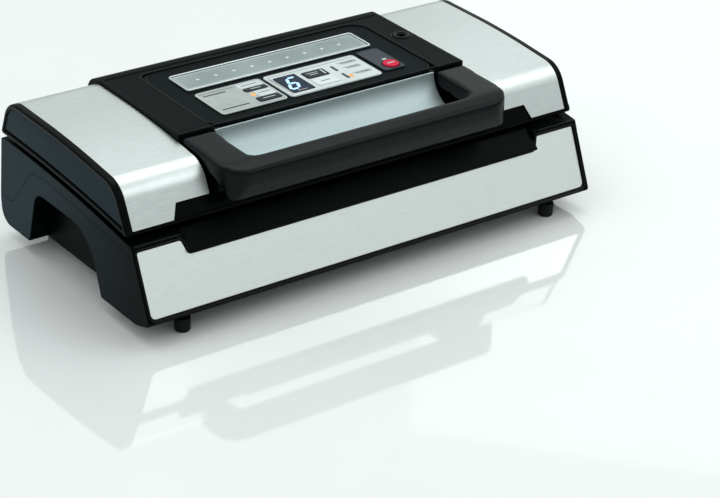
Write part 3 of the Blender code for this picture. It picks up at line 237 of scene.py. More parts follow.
def casing_material():
    """Blue-grey flat sides that darken to the front as painted shade, and a glossy black front, edges and
    recesses.
    """
    material = surface(
        "casing_plastic", (0.0150, 0.0265, 0.0330), (0.0185, 0.0315, 0.0395), (0.34, 0.44), 1500.0, 0.04,
        specular=0.03,
    )
    tree = material.node_tree
    shader = tree.nodes["Principled BSDF"]
    side_colour = shader.inputs["Base Color"].links[0].from_socket
    axes = node(tree, "ShaderNodeSeparateXYZ")
    tree.links.new(scaled_coordinates(tree, (1.0, 1.0, 1.0)), axes.inputs["Vector"])
    reach = node(tree, "ShaderNodeMath", operation="ABSOLUTE")
    tree.links.new(axes.outputs["X"], reach.inputs[0])
    share = node(tree, "ShaderNodeMath", operation="MULTIPLY")
    tree.links.new(mapped(tree, reach.outputs[0], CASING_FLANK, (0.0, 1.0)), share.inputs[0])
    # painted shade: the flat sides fade to black towards the front
    tree.links.new(mapped(tree, axes.outputs["Y"], CASING_PAINTED_SHADE_Y, CASING_PAINTED_SHADE_SHARES), share.inputs[1])
    colour = node(tree, "ShaderNodeMix", data_type="RGBA")
    colour.inputs["A"].default_value = CASING_BLACK
    tree.links.new(side_colour, colour.inputs["B"])
    tree.links.new(share.outputs[0], colour.inputs["Factor"])
    tree.links.new(colour.outputs["Result"], shader.inputs["Base Color"])
    return material


def glowing(name, colour, strength):
    material = surface(name, [0.6 * c for c in colour], colour, (0.3, 0.4), 900.0, 0.05)
    shader = material.node_tree.nodes["Principled BSDF"]
    shader.inputs["Emission Color"].default_value = (*colour, 1.0)
    shader.inputs["Emission Strength"].default_value = strength
    return material


def floor_material():
    return surface(
        "floor", (0.87, 0.86, 0.865), (0.89, 0.88, 0.885), (0.03, 0.05), 3.0, 0.0, specular=1.0, coat=0.5
    )


BRUSHED = (8.0, 110.0, 110.0)   # stretch of the grain on steel brushed along the width

LOOKS = {
    "steel": surface(
        "brushed_steel", (0.62, 0.65, 0.645), (0.71, 0.74, 0.735), (0.32, 0.41), 60.0, 0.05, 1.0,
        stretch=BRUSHED, broad=12.0,
    ),
    # painted light: the trim is the covers' brushed steel made lighter for the brighter reflection it shows
    "trim_steel_painted_light": surface(
        "brushed_trim_painted_light", (0.90, 0.93, 0.91), (0.97, 1.0, 0.98), (0.30, 0.38), 60.0, 0.03, 1.0,
        stretch=BRUSHED, broad=12.0,
    ),
    "aluminium": surface(
        "satin_aluminium", (0.39, 0.46, 0.47), (0.49, 0.56, 0.58), (0.42, 0.56), 900.0, 0.15, 0.9, broad=900.0
    ),
    "plate_silver": surface(
        "silver_plate", (0.40, 0.43, 0.42), (0.52, 0.55, 0.54), (0.28, 0.38), 700.0, 0.05, 0.6, broad=60.0
    ),
    "plate_white": surface(
        "white_plate", (0.56, 0.60, 0.60), (0.64, 0.68, 0.68), (0.35, 0.45), 900.0, 0.03, specular=0.2
    ),
    "plate_slate": surface(
        "slate_plate", (0.030, 0.034, 0.046), (0.040, 0.045, 0.060), (0.30, 0.4), 900.0, 0.03, specular=0.15
    ),
    "decor": surface(
        "decor_aluminium", (0.30, 0.36, 0.36), (0.42, 0.49, 0.49), (0.26, 0.36), 900.0, 0.01, 0.85, broad=22.0
    ),
    "pale_rim": surface("pale_rim", (0.62, 0.66, 0.65), (0.74, 0.78, 0.77), (0.20, 0.30), 600.0, 0.03, 0.4),
    "satin_plastic": surface(
        "satin_plastic", (0.0014, 0.0034, 0.0036), (0.0024, 0.0048, 0.0050), (0.30, 0.40), 1500.0, 0.04,
        specular=0.025,
    ),
    "side_plastic": surface(
        "side_plastic", (0.0150, 0.0265, 0.0335), (0.0185, 0.0315, 0.0400), (0.36, 0.46), 1500.0, 0.05,
        specular=0.03,
    ),
    "panel_plastic": surface(
        "panel_plastic", (0.0020, 0.0046, 0.0050), (0.0032, 0.0060, 0.0064), (0.40, 0.5), 1600.0, 0.05,
        specular=0.03,
    ),
    "black_plastic": surface(
        "black_plastic", (0.0006, 0.0010, 0.0012), (0.0012, 0.0020, 0.0024), (0.20, 0.28), 1500.0, 0.02,
        specular=0.05,
    ),
    "handle_plastic": surface(
        "handle_plastic", (0.0006, 0.0018, 0.0020), (0.0012, 0.0028, 0.0030), (0.22, 0.29), 1500.0, 0.03,
        specular=0.13,
    ),
    "gloss_plastic": surface(
        "gloss_plastic", (0.0006, 0.0012, 0.0014), (0.0012, 0.0022, 0.0024), (0.10, 0.16), 900.0, 0.01,
        specular=0.12,
    ),
    "ledge_plastic": surface(
        "ledge_plastic", (0.0004, 0.0012, 0.0012), (0.0040, 0.0056, 0.0056), (0.30, 0.42), 1800.0, 0.08,
        broad=1800.0, specular=0.03,
    ),
    "casing_plastic": casing_material(),
    "rubber": surface(
        "rubber", (0.004, 0.005, 0.005), (0.008, 0.009, 0.009), (0.55, 0.7), 900.0, 0.20, specular=0.15
    ),
    "silicone": surface("silicone", (0.30, 0.06, 0.04), (0.38, 0.08, 0.05), (0.45, 0.6), 700.0, 0.15),
    "key_light": surface(
        "key_light", (0.66, 0.70, 0.70), (0.74, 0.78, 0.78), (0.35, 0.45), 900.0, 0.05, specular=0.2
    ),
    "key_dark": surface(
        "key_dark", (0.010, 0.013, 0.021), (0.015, 0.018, 0.028), (0.26, 0.36), 900.0, 0.05, specular=0.12
    ),
    "red": surface(
        "red_button", (0.55, 0.003, 0.030), (0.66, 0.006, 0.045), (0.3, 0.4), 900.0, 0.05, specular=0.12
    ),
    "display": surface(
        "display", (0.003, 0.008, 0.026), (0.006, 0.014, 0.046), (0.08, 0.12), 300.0, 0.0, specular=0.12
    ),
    "circuit": surface("circuit", (0.01, 0.10, 0.04), (0.02, 0.16, 0.06), (0.4, 0.5), 500.0, 0.1),
    "iron": surface("plain_steel", (0.24, 0.24, 0.25), (0.34, 0.34, 0.35), (0.34, 0.5), 400.0, 0.12, 1.0),
    "copper": surface("heating_strip", (0.42, 0.22, 0.11), (0.55, 0.30, 0.15), (0.3, 0.4), 300.0, 0.1, 1.0),
    "tube": surface("clear_tube", (0.60, 0.61, 0.58), (0.72, 0.73, 0.70), (0.2, 0.3), 300.0, 0.05),
    "ink": surface("printed_ink", (0.02, 0.024, 0.028), (0.03, 0.034, 0.040), (0.45, 0.55), 900.0, 0.02),
    "glow": glowing("display_glow", (0.42, 0.68, 1.0), 0.85),
    "orange": glowing("orange_lamp", (0.95, 0.36, 0.04), 0.35),
}


# ---- Mesh helpers -------------------------------------------------------------------------------------

EDGE_SEGMENTS = 3
EDGE_ANGLE = 32.0             # degrees, above which an edge is rounded
FLAT_ANGLE = 0.6              # degrees, under which two faces count as one flat
WELD = 2e-6
WIRE_WELD = 1e-7
REPEATED = 1e-6
LEAST_STRETCH = 0.35          # keeps a very sharp corner from shooting out when an outline is inset


def mesh_object(name, bm):
    mesh = bpy.data.meshes.new(name)
    bm.to_mesh(mesh)
    bm.free()
    return bpy.data.objects.new(name, mesh)


def shade(obj, angle):
    obj.data.shade_smooth()
    obj.data.set_sharp_from_angle(angle=math.radians(angle))


def place(obj, look, body, slot):
    """Puts a finished piece in the scene, on its body, with its look."""
    if obj.name not in bpy.context.scene.collection.objects:
        bpy.context.scene.collection.objects.link(obj)
    obj.data.materials.clear()
    obj.data.materials.append(LOOKS[look])
    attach(obj, body)
    return obj


def flat_copy(cad_node):
    """The node's mesh with its flat faces whole again."""
    bm = bmesh.new()
    bm.from_mesh(NODES[cad_node].data)
    bmesh.ops.remove_doubles(bm, verts=bm.verts, dist=WELD)
    bmesh.ops.dissolve_limit(bm, angle_limit=math.radians(FLAT_ANGLE), verts=bm.verts, edges=bm.edges)
    return bm


def soften(obj, width):
    """Rounds the sharp edges and keeps the flats flat in the shading."""
    bevel = obj.modifiers.new("Edges", "BEVEL")
    bevel.width = width * MM
    bevel.segments = EDGE_SEGMENTS
    bevel.limit_method = "ANGLE"
    bevel.angle_limit = math.radians(EDGE_ANGLE)
    bevel.miter_outer = "MITER_ARC"
    bevel.use_clamp_overlap = True
    obj.data.shade_smooth()
    weighted = obj.modifiers.new("Normals", "WEIGHTED_NORMAL")
    weighted.keep_sharp = True


def refined(cad_node, look, width):
    """The node's shape with rounded edges, in the node's place."""
    obj = mesh_object(f"{cad_node}_skin", flat_copy(cad_node))
    soften(obj, width)
    place(obj, look, BODY_OF[cad_node], SLOT_OF[cad_node])
    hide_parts(cad_node)


def wire(name, points, radius, look, body, slot, cyclic=True):
    """A bead or a line along points."""
    curve = bpy.data.curves.new(name, "CURVE")
    curve.dimensions = "3D"
    curve.bevel_depth = radius * MM
    curve.bevel_resolution = 3
    curve.use_fill_caps = True
    spline = curve.splines.new("POLY")
    spline.points.add(len(points) - 1)
    for point, co in zip(spline.points, points):
        point.co = (*co, 1.0)
    spline.use_cyclic_u = cyclic
    guide = bpy.data.objects.new(name + "_guide", curve)
    bpy.context.scene.collection.objects.link(guide)
    graph = bpy.context.evaluated_depsgraph_get()
    mesh = bpy.data.meshes.new_from_object(guide.evaluated_get(graph))
    bpy.data.objects.remove(guide, do_unlink=True)
    bm = bmesh.new()
    bm.from_mesh(mesh)
    bmesh.ops.remove_doubles(bm, verts=bm.verts, dist=WIRE_WELD)
    obj = mesh_object(name, bm)
    shade(obj, 50.0)
    return place(obj, look, body, slot)


def arc(centre, radius, start, end, steps):
    for step in range(steps + 1):
        angle = start + (end - start) * step / steps
        yield (centre[0] + radius * math.cos(angle), centre[1] + radius * math.sin(angle))


def ring_points(x, y, radius, count, other_radius=None):
    """Points round a circle, or round an ellipse of two radii."""
    other_radius = radius if other_radius is None else other_radius
    angles = [index * math.pi / (count / 2.0) for index in range(count)]
    return [(x + radius * math.cos(angle), y + other_radius * math.sin(angle)) for angle in angles]


def rounded_rectangle(x0, x1, y0, y1, radius, steps):
    quarter = math.pi / 2.0
    corners = [
        (x1 - radius, y1 - radius),
        (x0 + radius, y1 - radius),
        (x0 + radius, y0 + radius),
        (x1 - radius, y0 + radius),
    ]
    points = []
    for index, centre in enumerate(corners):
        points += arc(centre, radius, index * quarter, (index + 1) * quarter, steps)
    return points


def seamless(points):
    """Points of an outline with none repeated."""
    kept = []
    for point in points:
        if not kept or (Vector(point) - Vector(kept[-1])).length > REPEATED:
            kept.append(point)
    return kept


def inset(points, distance):
    """A closed flat outline moved inwards by distance, each corner along its own bisector."""
    area = sum(a[0] * b[1] - b[0] * a[1] for a, b in zip(points, points[1:] + points[:1]))
    side = math.copysign(1.0, area)
    moved = []
    for index, point in enumerate(points):
        here = Vector(point)
        before = (here - Vector(points[index - 1])).normalized()
        after = (Vector(points[(index + 1) % len(points)]) - here).normalized()
        bisector = Vector((-before.y - after.y, before.x + after.x)).normalized() * side
        stretch = max(LEAST_STRETCH, bisector.dot(Vector((-after.y, after.x)) * side))
        moved.append(tuple(here + bisector * distance / stretch))
    return moved


def layered(name, loops, look, body, slot, closed_ends=True, angle=40.0):
    """A solid through loops of equal length, each a list of world points in metres."""
    bm = bmesh.new()
    rows = [[bm.verts.new(point) for point in loop] for loop in loops]
    for first, second in zip(rows, rows[1:]):
        for index in range(len(first)):
            after = (index + 1) % len(first)
            bm.faces.new((first[index], first[after], second[after], second[index]))
    if closed_ends:
        bm.faces.new(rows[0])
        bm.faces.new(rows[-1])
    else:
        for index in range(len(rows[0])):
            after = (index + 1) % len(rows[0])
            bm.faces.new((rows[-1][index], rows[-1][after], rows[0][after], rows[0][index]))
    bmesh.ops.recalc_face_normals(bm, faces=bm.faces)
    obj = mesh_object(name, bm)
    shade(obj, angle)
    return place(obj, look, body, slot)


def end_outline(cad_node, side):
    """The (y, z) outline of a node's flat end face on one side."""
    bm = flat_copy(cad_node)
    ends = [face for face in bm.faces if face.normal.x * side > 0.99]
    face = max(ends, key=lambda one: (one.calc_center_median().x * side, one.calc_area()))
    outline = [(vert.co.y, vert.co.z) for vert in face.verts]
    bm.free()
    return outline


# ---- The panel's own plane ----------------------------------------------------------------------------

PANEL_AT = Vector((0.0, -33.5, 118.5)) * MM
PANEL_TILT = Matrix.Rotation(math.radians(1.307), 3, "X")
PLATE_TOP = 0.1               # height of the panel's plates over the housing's top plane
KEY_TOP = 0.6


def panel_point(x, y, z):
    return PANEL_AT + PANEL_TILT @ (Vector((x, y, z)) * MM)


def panel_loop(points, z):
    return [panel_point(x, y, z) for x, y in points]


def raised(name, points, low, high, look, slot, edge=0.12):
    """A thin flat piece on the panel with a bevelled upper edge."""
    loops = [
        panel_loop(points, low),
        panel_loop(points, high - edge),
        panel_loop(inset(points, edge), high),
    ]
    return layered(name, loops, look, "lid", slot, angle=60.0)


def mark(name, x0, x1, y0, y1, look, base=PLATE_TOP, height=0.06, radius=None, body="lid", slot="key_grey"):
    """A printed or set-in mark with round corners."""
    radius = min(x1 - x0, y1 - y0) * 0.3 if radius is None else radius
    points = rounded_rectangle(x0, x1, y0, y1, radius, 3)
    loops = [
        panel_loop(points, base - 0.2),
        panel_loop(points, base + height * 0.5),
        panel_loop(inset(points, height * 0.5), base + height),
    ]
    return layered(name, loops, look, body, slot, angle=60.0)


def bead(name, points, z, radius, look, slot, cyclic=True):
    return wire(name, panel_loop(points, z), radius, look, "lid", slot, cyclic)


make_camera()
make_studio()

# ---- Pieces that keep their node's shape --------------------------------------------------------------

NODE_LOOKS = {                # where a node's look isn't its slot's
    "key_plate_left": "plate_silver",
    "key_plate_right": "plate_white",
    "stop_tile": "plate_slate",
    "decor_plate": "decor",
    "bag_ledge": "ledge_plastic",
    "front_trim": "trim_steel_painted_light",
    "fascia": "panel_plastic",
    "lower_casing": "casing_plastic",
    "upper_casing": "casing_plastic",
}
EDGE_WIDTHS = {               # mm of rounding
    "control_housing": 1.6,
    "lower_casing": 0.9,
    "upper_casing": 0.9,
    "fascia": 0.5,
    "steel_cover_left": 0.3,
    "steel_cover_right": 0.3,
    "front_trim": 0.3,
    "hose_port": 0.3,
    "stop_button": 1.0,
    "decor_plate": 0.2,
    "key_plate_left": 0.15,
    "key_plate_right": 0.15,
    "stop_tile": 0.15,
    "heating_strip": 0.1,
}
USUAL_EDGE = 0.4
BUILT_BELOW = {"cheek_left", "cheek_right", "handle"}

for cad_node in sorted(set(NODES) - BUILT_BELOW):
    look = NODE_LOOKS.get(cad_node, SLOT_OF[cad_node])
    refined(cad_node, look, EDGE_WIDTHS.get(cad_node, USUAL_EDGE))


# ---- Lid cheeks: a black rounded border round a slightly sunk panel ------------------------------------

CHEEK_ROUND = 1.8
CHEEK_ROUND_ANGLES = (0.0, 0.4, 0.8, 1.2, math.pi / 2.0)
CHEEK_GROOVE = ((3.2, 0.1), (3.8, 0.5), (4.0, 1.4), (4.0, 3.0))     # (inset, depth) inside the border
CHEEK_PANEL = ((3.9, 2.9), (3.9, 1.3), (4.3, 0.9), (5.2, 0.8))


def build_cheek(way, side):
    cad_node = f"cheek_{way}"
    low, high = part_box(cad_node)
    outer, inner = (high.x, low.x) if side > 0 else (low.x, high.x)
    outline = seamless(end_outline(cad_node, side))

    def loop(distance, depth):
        points = inset(outline, distance * MM) if distance else outline
        return [(outer - side * depth * MM, y, z) for y, z in points]

    rounding = [
        (CHEEK_ROUND - CHEEK_ROUND * math.cos(angle), CHEEK_ROUND - CHEEK_ROUND * math.sin(angle))
        for angle in CHEEK_ROUND_ANGLES
    ]
    rim = [[(inner, y, z) for y, z in outline]]
    rim += [loop(distance, depth) for distance, depth in (*rounding, *CHEEK_GROOVE)]
    border = layered(f"{cad_node}_border", rim, "black_plastic", "lid", SLOT_OF[cad_node], False)
    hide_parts(cad_node)
    panel = [loop(distance, depth) for distance, depth in CHEEK_PANEL]
    layered(f"{cad_node}_panel", panel, "side_plastic", "lid", SLOT_OF[cad_node])


for way, side in SIDES.items():
    build_cheek(way, side)


# ---- Handle: one moulded piece with broad soft edges ---------------------------------------------------

HANDLE_VOXEL = 1.4
HANDLE_SMOOTHING = 14


def build_handle():
    handle = mesh_object("handle_skin", flat_copy("handle"))
    dense = handle.modifiers.new("Dense", "REMESH")
    dense.mode = "VOXEL"
    dense.voxel_size = HANDLE_VOXEL * MM
    smooth = handle.modifiers.new("Soft", "SMOOTH")
    smooth.factor = 0.5
    smooth.iterations = HANDLE_SMOOTHING
    handle.data.shade_smooth()
    dense.use_smooth_shade = True
    place(handle, "handle_plastic", BODY_OF["handle"], SLOT_OF["handle"])
    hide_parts("handle")


build_handle()


# ---- Base front: a glossy lip round the trim, and feet details -----------------------------------------

def trim_loop(grow, lift):
    """Points round the trim, grown in its plane and lifted off its face."""
    bm = flat_copy("front_trim")
    face = max((one for one in bm.faces if one.normal.y < -0.5), key=lambda one: one.calc_area())
    normal = face.normal.copy()
    up = normal.cross(Vector((1.0, 0.0, 0.0))).normalized()
    up = up if up.z > 0 else -up
    start = face.verts[0].co.copy()
    flat = [((vert.co - start).x, (vert.co - start).dot(up)) for vert in face.verts]
    bm.free()
    grown = inset(flat, -grow * MM)
    return [start + Vector((x, 0.0, 0.0)) + up * v + normal * lift * MM for x, v in grown]


wire("trim_lip", trim_loop(1.5, 0.5), 1.05, "gloss_plastic", "base", "satin_plastic")
wire("trim_shadow_line", trim_loop(0.35, 0.0), 0.3, "black_plastic", "base", "satin_plastic")

BROW = (-88.6, 70.7)          # (y, z) of the lip along the base's front top edge
BROW_END = 202.6
NOTCH_TOP_HALF = 165.0
FOOT_RINGS = ((2.4, 5.25, 0.35), (9.2, 6.0, 0.4))       # height, radius, thickness

for way, side in SIDES.items():
    ends = sorted((side * NOTCH_TOP_HALF, side * BROW_END))
    points = [Vector((x, BROW[0], BROW[1])) * MM for x in ends]
    wire(f"brow_lip_{way}", points, 0.7, "gloss_plastic", "base", "satin_plastic", False)

for cad_node in sorted(name for name in NODES if name.startswith("foot_")):
    foot_low, foot_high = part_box(cad_node)
    middle = (foot_low + foot_high) / 2.0
    for row, (height, radius, thick) in enumerate(FOOT_RINGS):
        points = [(x, y, height * MM) for x, y in ring_points(middle.x, middle.y, radius * MM, 32)]
        wire(f"{cad_node}_ring_{row}", points, thick, "rubber", "base", "rubber")


# ---- Housing: rims round the recess and along its edges ------------------------------------------------

RECESS = (-101.5, 106.0, 106.5)           # left, right and rear
RECESS_LEFT_R, RECESS_RIGHT_R = 8.0, 14.0
HOUSING_HALF = 131.0
HOUSING_RIM_IN = 2.6          # from the housing's side to the rim along it
HOUSING_RIM_END = 129.6


def recess_line(grow, front):
    """The recess from its front left, round its rear corners, to its front right."""
    left, right, rear = RECESS[0] - grow, RECESS[1] + grow, RECESS[2] + grow
    points = [(left, front)]
    near, far = RECESS_LEFT_R, RECESS_RIGHT_R
    points += list(arc((left + near + grow, rear - near - grow), near + grow, math.pi, math.pi / 2.0, 8))
    points += list(arc((right - far - grow, rear - far - grow), far + grow, math.pi / 2.0, 0.0, 10))
    points.append((right, front))
    return points


bead("recess_rim", recess_line(0.9, 2.0), -0.2, 0.55, "gloss_plastic", "satin_plastic", False)
FASCIA = rounded_rectangle(-101.0, 105.5, 0.8, 106.0, 13.5, 8)
bead("fascia_rim", inset(FASCIA, 0.6), -1.0, 0.45, "gloss_plastic", "satin_plastic")
for name, ends, z, radius, look in (
    ("front_rim", ((-HOUSING_RIM_END, 1.6), (HOUSING_RIM_END, 1.6)), -0.25, 0.6, "gloss_plastic"),
    ("front_line", ((-HOUSING_RIM_END, 4.4), (-102.6, 4.4)), -0.3, 0.45, "satin_plastic"),
):
    bead(f"housing_{name}", ends, z, radius, look, "satin_plastic", False)
for way, side in SIDES.items():
    edge = side * (HOUSING_HALF - HOUSING_RIM_IN)
    ends = ((edge, 3.0), (edge, 116.0))
    bead(f"housing_side_rim_{way}", ends, -0.2, 0.5, "gloss_plastic", "satin_plastic", False)
rear_ends = ((-127.0, 112.5), (127.0, 112.5))
bead("housing_rear_rim", rear_ends, -0.25, 0.7, "satin_plastic", "satin_plastic", False)


# ---- Plates, display, keys and lamps -------------------------------------------------------------------

DECOR = rounded_rectangle(-84.0, 87.5, 62.0, 92.0, 3.2, 6)
LEFT_PLATE = rounded_rectangle(-84.0, -25.6, 12.4, 54.4, 3.2, 6)
RIGHT_PLATE = rounded_rectangle(-22.4, 62.6, 12.4, 54.4, 3.2, 6)

bead("decor_rim", inset(DECOR, 0.7), PLATE_TOP + 0.1, 0.75, "pale_rim", "aluminium")
bead("decor_inner_line", inset(DECOR, 1.75), PLATE_TOP - 0.02, 0.2, "ink", "aluminium")
bead("decor_frame", inset(DECOR, 3.6), PLATE_TOP - 0.1, 0.22, "pale_rim", "aluminium")
DOTS = 9
DOT_START, DOT_PITCH, DOT_ROW, DOT_R = -66.0, 16.5, 77.0, 1.5
for step in range(DOTS):
    dot = ring_points(DOT_START + step * DOT_PITCH, DOT_ROW, DOT_R, 20)
    raised(f"decor_dot_{step}", dot, PLATE_TOP - 0.2, PLATE_TOP + 0.15, "pale_rim", "aluminium", 0.1)

bead("left_plate_rim", inset(LEFT_PLATE, 0.4), PLATE_TOP - 0.02, 0.4, "plate_white", "key_grey")
bead("right_plate_rim", inset(RIGHT_PLATE, 0.4), PLATE_TOP - 0.02, 0.4, "plate_white", "key_grey")
mark("left_header_line", -81.0, -50.0, 50.6, 51.0, "ink", radius=0.1)
mark("right_header_line", -20.0, 60.0, 50.6, 51.0, "ink", radius=0.1)
mark("left_label_patch", -48.2, -27.0, 44.6, 53.0, "plate_white", radius=0.8)
mark("left_label_middle", -42.0, -27.0, 25.8, 36.8, "plate_white", radius=0.8)
for index, (x0, x1, y) in enumerate(((-45.5, -31.0, 48.4), (-40.0, -30.0, 31.6))):
    mark(f"left_label_line_{index}", x0, x1, y, y + 0.9, "ink", 0.14, radius=0.3)
for index, (y, length) in enumerate(((46.2, 20.0), (19.2, 24.0))):
    mark(f"left_plain_bar_{index}", -80.0, -80.0 + length, y, y + 1.6, "ink", radius=0.5)
for index, (y, length) in enumerate(((47.0, 17.0), (38.0, 15.0), (26.0, 17.0))):
    mark(f"right_panel_{index}", 42.0, 42.0 + length, y - 4.6, y, "plate_silver", radius=0.8)
    mark(f"right_panel_line_{index}", 44.0, 42.0 + length - 3.0, y - 2.7, y - 1.9, "ink", 0.14, radius=0.3)
mark("display_side", -21.0, -18.4, 16.0, 48.6, "plate_silver", radius=0.8)
mark("lamp_bar_function", 33.8, 36.4, 34.6, 44.4, "plate_slate", radius=0.5)
mark("lamp_bar_seal", 33.8, 36.4, 19.2, 29.0, "plate_slate", radius=0.5)

LAMP_R, LAMP_HALF_HEIGHT = 2.0, 2.6
for name, x, y in (("program", -45.4, 31.0), ("seal", 38.6, 21.6)):
    glass = ring_points(x, y, LAMP_R, 20, LAMP_HALF_HEIGHT)
    raised(f"lamp_{name}", glass, PLATE_TOP - 0.2, PLATE_TOP + 0.5, "orange", "key_grey", 0.35)
    bead(f"lamp_{name}_ring", glass, PLATE_TOP, 0.3, "plate_white", "key_grey")

for key, marks in {
    "key_program": ((-42.0, -33.0, 39.9, 40.7),),
    "key_vacuum": ((-43.0, -32.0, 20.8, 21.6),),
    "key_function": ((10.0, 20.0, 40.6, 41.4), (11.0, 19.0, 37.6, 38.4), (23.4, 24.8, 35.0, 43.2)),
    "key_seal": ((12.0, 21.0, 24.0, 24.9),),
}.items():
    look = "ink" if key == "key_seal" else "plate_white"
    for index, (x0, x1, y0, y1) in enumerate(marks):
        mark(f"{key}_mark_{index}", x0, x1, y0, y1, look, KEY_TOP, 0.05, 0.2, key, SLOT_OF[key])

DISPLAY = (-17.4, 2.6, 17.4, 47.4)
bead("display_rim", inset(rounded_rectangle(*DISPLAY, 1.5, 4), 0.3), 0.25, 0.3, "gloss_plastic", "display")


def segment(name, start, end, width):
    """One lit bar of the digit, pointed at both ends."""
    first, last = Vector(start), Vector(end)
    along = (last - first).normalized()
    across = Vector((-along.y, along.x)) * width / 2.0
    tip = along * width / 2.0
    points = [
        first, first + tip - across, last - tip - across, last, last - tip + across, first + tip + across
    ]
    points = [(point.x, point.y) for point in points]
    raised(name, points, 0.2, 0.42, "glow", "display", 0.08)


LEAN = 0.42                   # how far the digit leans, in x per y
DIGIT_LEFT, DIGIT_RIGHT = -11.6, -4.2
DIGIT_LOW, DIGIT_MIDDLE, DIGIT_HIGH = 23.6, 33.0, 42.4


def digit_point(x, y):
    return (x + LEAN * (y - DIGIT_MIDDLE), y)


BAR_GAP = 0.5
BAR_WIDTH = 2.4
for name, start, end in (
    ("top", (DIGIT_LEFT + BAR_GAP, DIGIT_HIGH), (DIGIT_RIGHT - BAR_GAP, DIGIT_HIGH)),
    ("upper_left", (DIGIT_LEFT, DIGIT_HIGH - BAR_GAP), (DIGIT_LEFT, DIGIT_MIDDLE + BAR_GAP)),
    ("middle", (DIGIT_LEFT + BAR_GAP, DIGIT_MIDDLE), (DIGIT_RIGHT - BAR_GAP, DIGIT_MIDDLE)),
    ("lower_left", (DIGIT_LEFT, DIGIT_MIDDLE - BAR_GAP), (DIGIT_LEFT, DIGIT_LOW + BAR_GAP)),
    ("lower_right", (DIGIT_RIGHT, DIGIT_MIDDLE - BAR_GAP), (DIGIT_RIGHT, DIGIT_LOW + BAR_GAP)),
    ("bottom", (DIGIT_LEFT + BAR_GAP, DIGIT_LOW), (DIGIT_RIGHT - BAR_GAP, DIGIT_LOW)),
):
    segment(f"digit_{name}", digit_point(*start), digit_point(*end), BAR_WIDTH)
mark("display_line", -12.0, -3.0, 19.6, 20.4, "plate_silver", 0.3, radius=0.2, slot="display")

STOP = (78.8, 24.6)
STOP_RING_R = 7.4
bead("stop_ring", ring_points(*STOP, STOP_RING_R, 40), PLATE_TOP - 0.1, 0.35, "gloss_plastic", "key_grey")
mark("stop_bar", 77.4, 81.4, 33.4, 35.4, "plate_white", height=0.3, radius=0.6)
STOP_TILE = rounded_rectangle(67.2, 87.6, 15.6, 56.6, 3.2, 5)
bead("stop_tile_rim", inset(STOP_TILE, 0.4), PLATE_TOP - 0.05, 0.3, "plate_slate", "key_grey")
mark("stop_header_line", 69.0, 86.0, 50.6, 51.0, "ink", radius=0.1)
mark("stop_button_mark", 75.4, 82.2, 24.0, 25.2, "plate_white", 1.2, 0.06, 0.4, "stop_button", "red")

PORT = (120.0, 66.2)
PORT_RINGS = (("outer", 8.2, -0.2, 0.5), ("middle", 6.0, 0.75, 0.3), ("inner", 3.9, 0.2, 0.3))
for name, radius, height, thick in PORT_RINGS:
    ring = ring_points(*PORT, radius, 40)
    bead(f"port_ring_{name}", ring, height, thick, "gloss_plastic", "gloss_plastic")


# ---- Back and underside --------------------------------------------------------------------------------

def rear_y(cad_node, z):
    """Depth of a node's back surface at a height: the furthest back among its rear-facing faces across that
    height.
    """
    mesh = NODES[cad_node].data
    best = []
    for polygon in mesh.polygons:
        heights = [mesh.vertices[index].co.z for index in polygon.vertices]
        if polygon.normal.y > 0.3 and min(heights) <= z <= max(heights):
            best.append(max(mesh.vertices[index].co.y for index in polygon.vertices))
    return max(best)


INLET_X = -150.0
INLET_Z = 52.0
CONTACT_OFFSET = 3.6
CONTACT_FRONT, CONTACT_REAR = 99.4, 105.6
SOCKET_REAR = 107.3
for way, side in SIDES.items():
    points = [
        Vector((INLET_X + side * CONTACT_OFFSET, y, INLET_Z)) * MM for y in (CONTACT_FRONT, CONTACT_REAR)
    ]
    wire(f"contact_{way}", points, 1.15, "copper", "base", "copper", False)
socket = [
    Vector((INLET_X + x, SOCKET_REAR, INLET_Z + z)) * MM
    for x, z in rounded_rectangle(-9.2, 9.2, -7.6, 7.6, 3.0, 5)
]
wire("socket_rim", socket, 0.5, "gloss_plastic", "base", "black_plastic")

VENT_ROWS = 7
VENT_LOW, VENT_PITCH = 40.0, 4.6
VENT_SUNK = 0.35              # how far a vent line's middle is sunk into the back
for row in range(VENT_ROWS):
    z = VENT_LOW + VENT_PITCH * row
    y = rear_y("upper_casing", z * MM) / MM
    for name, x0, x1 in (("left", 62.0, 96.0), ("right", 104.0, 138.0)):
        points = [Vector((x, y - VENT_SUNK, z)) * MM for x in (x0, x1)]
        wire(f"vent_{name}_{row}", points, 0.75, "black_plastic", "base", "satin_plastic", False)

UNDERSIDE = 11.5
BELOW_ROOT = 0.3              # how far a raised shape reaches into the base


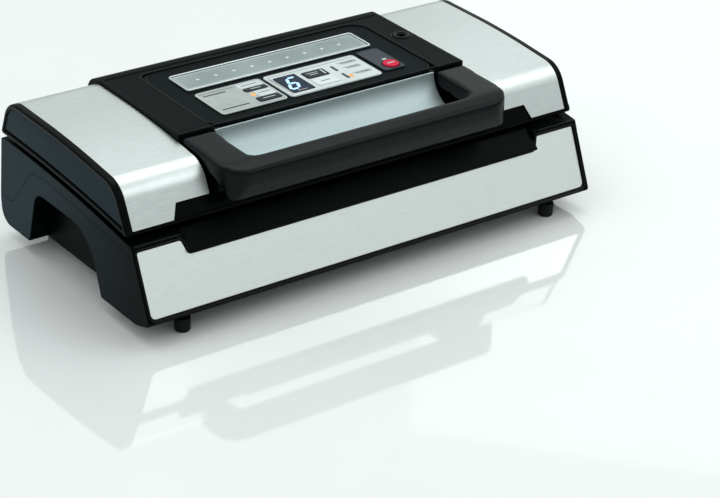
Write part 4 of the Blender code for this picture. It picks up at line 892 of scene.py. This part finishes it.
def below(name, points, depth, look, slot, edge=0.25):
    """A raised shape under the base."""
    loops = [
        [Vector((x, y, UNDERSIDE + BELOW_ROOT)) * MM for x, y in points],
        [Vector((x, y, UNDERSIDE - depth + edge)) * MM for x, y in points],
        [Vector((x, y, UNDERSIDE - depth)) * MM for x, y in inset(points, edge)],
    ]
    return layered(name, loops, look, "base", slot, angle=60.0)


RATING_PLATE = rounded_rectangle(-42.0, 42.0, -8.0, 42.0, 3.0, 5)
below("rating_plate", RATING_PLATE, 0.35, "plate_silver", "satin_plastic")
RIB_ROWS = 5
RIB_FRONT, RIB_PITCH, RIB_WIDTH, RIB_R = -44.0, 6.0, 2.4, 1.1
for row in range(RIB_ROWS):
    y = RIB_FRONT + row * RIB_PITCH
    for name, x0, x1 in (("slot", 60.0, 118.0), ("rib", -118.0, -60.0)):
        outline = rounded_rectangle(x0, x1, y, y + RIB_WIDTH, RIB_R, 4)
        below(f"underside_{name}_{row}", outline, 0.3, "black_plastic", "satin_plastic", 0.1)
SCREW_X = 120.0
COLLAR_R = 4.9
for row, y in (("front", -70.0), ("rear", 92.0)):
    for way, side in SIDES.items():
        points = [
            Vector((px, py, UNDERSIDE)) * MM for px, py in ring_points(side * SCREW_X, y, COLLAR_R, 28)
        ]
        wire(f"screw_collar_{way}_{row}", points, 0.4, "black_plastic", "base", "satin_plastic")


SEAL_CORNER_R = 9.0
SEAL_RIB_MARGINS = (1.7, 4.3)
SEAL_RIB_SUNK = 0.1


def seal_ribs(cad_node, direction, body):
    """Two fine lips along the face of a seal that meets the other one."""
    seal_low, seal_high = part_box(cad_node)
    z = (seal_high.z if direction > 0 else seal_low.z) - direction * SEAL_RIB_SUNK * MM
    for row, margin in enumerate(SEAL_RIB_MARGINS):
        points = rounded_rectangle(
            seal_low.x / MM + margin,
            seal_high.x / MM - margin,
            seal_low.y / MM + margin,
            seal_high.y / MM - margin,
            SEAL_CORNER_R - margin,
            6,
        )
        points = [Vector((x * MM, y * MM, z)) for x, y in points]
        wire(f"{cad_node}_rib_{row}", points, 0.4, "rubber", body, "rubber")


seal_ribs("lower_gasket", 1.0, "base")
seal_ribs("upper_gasket", -1.0, "lid")
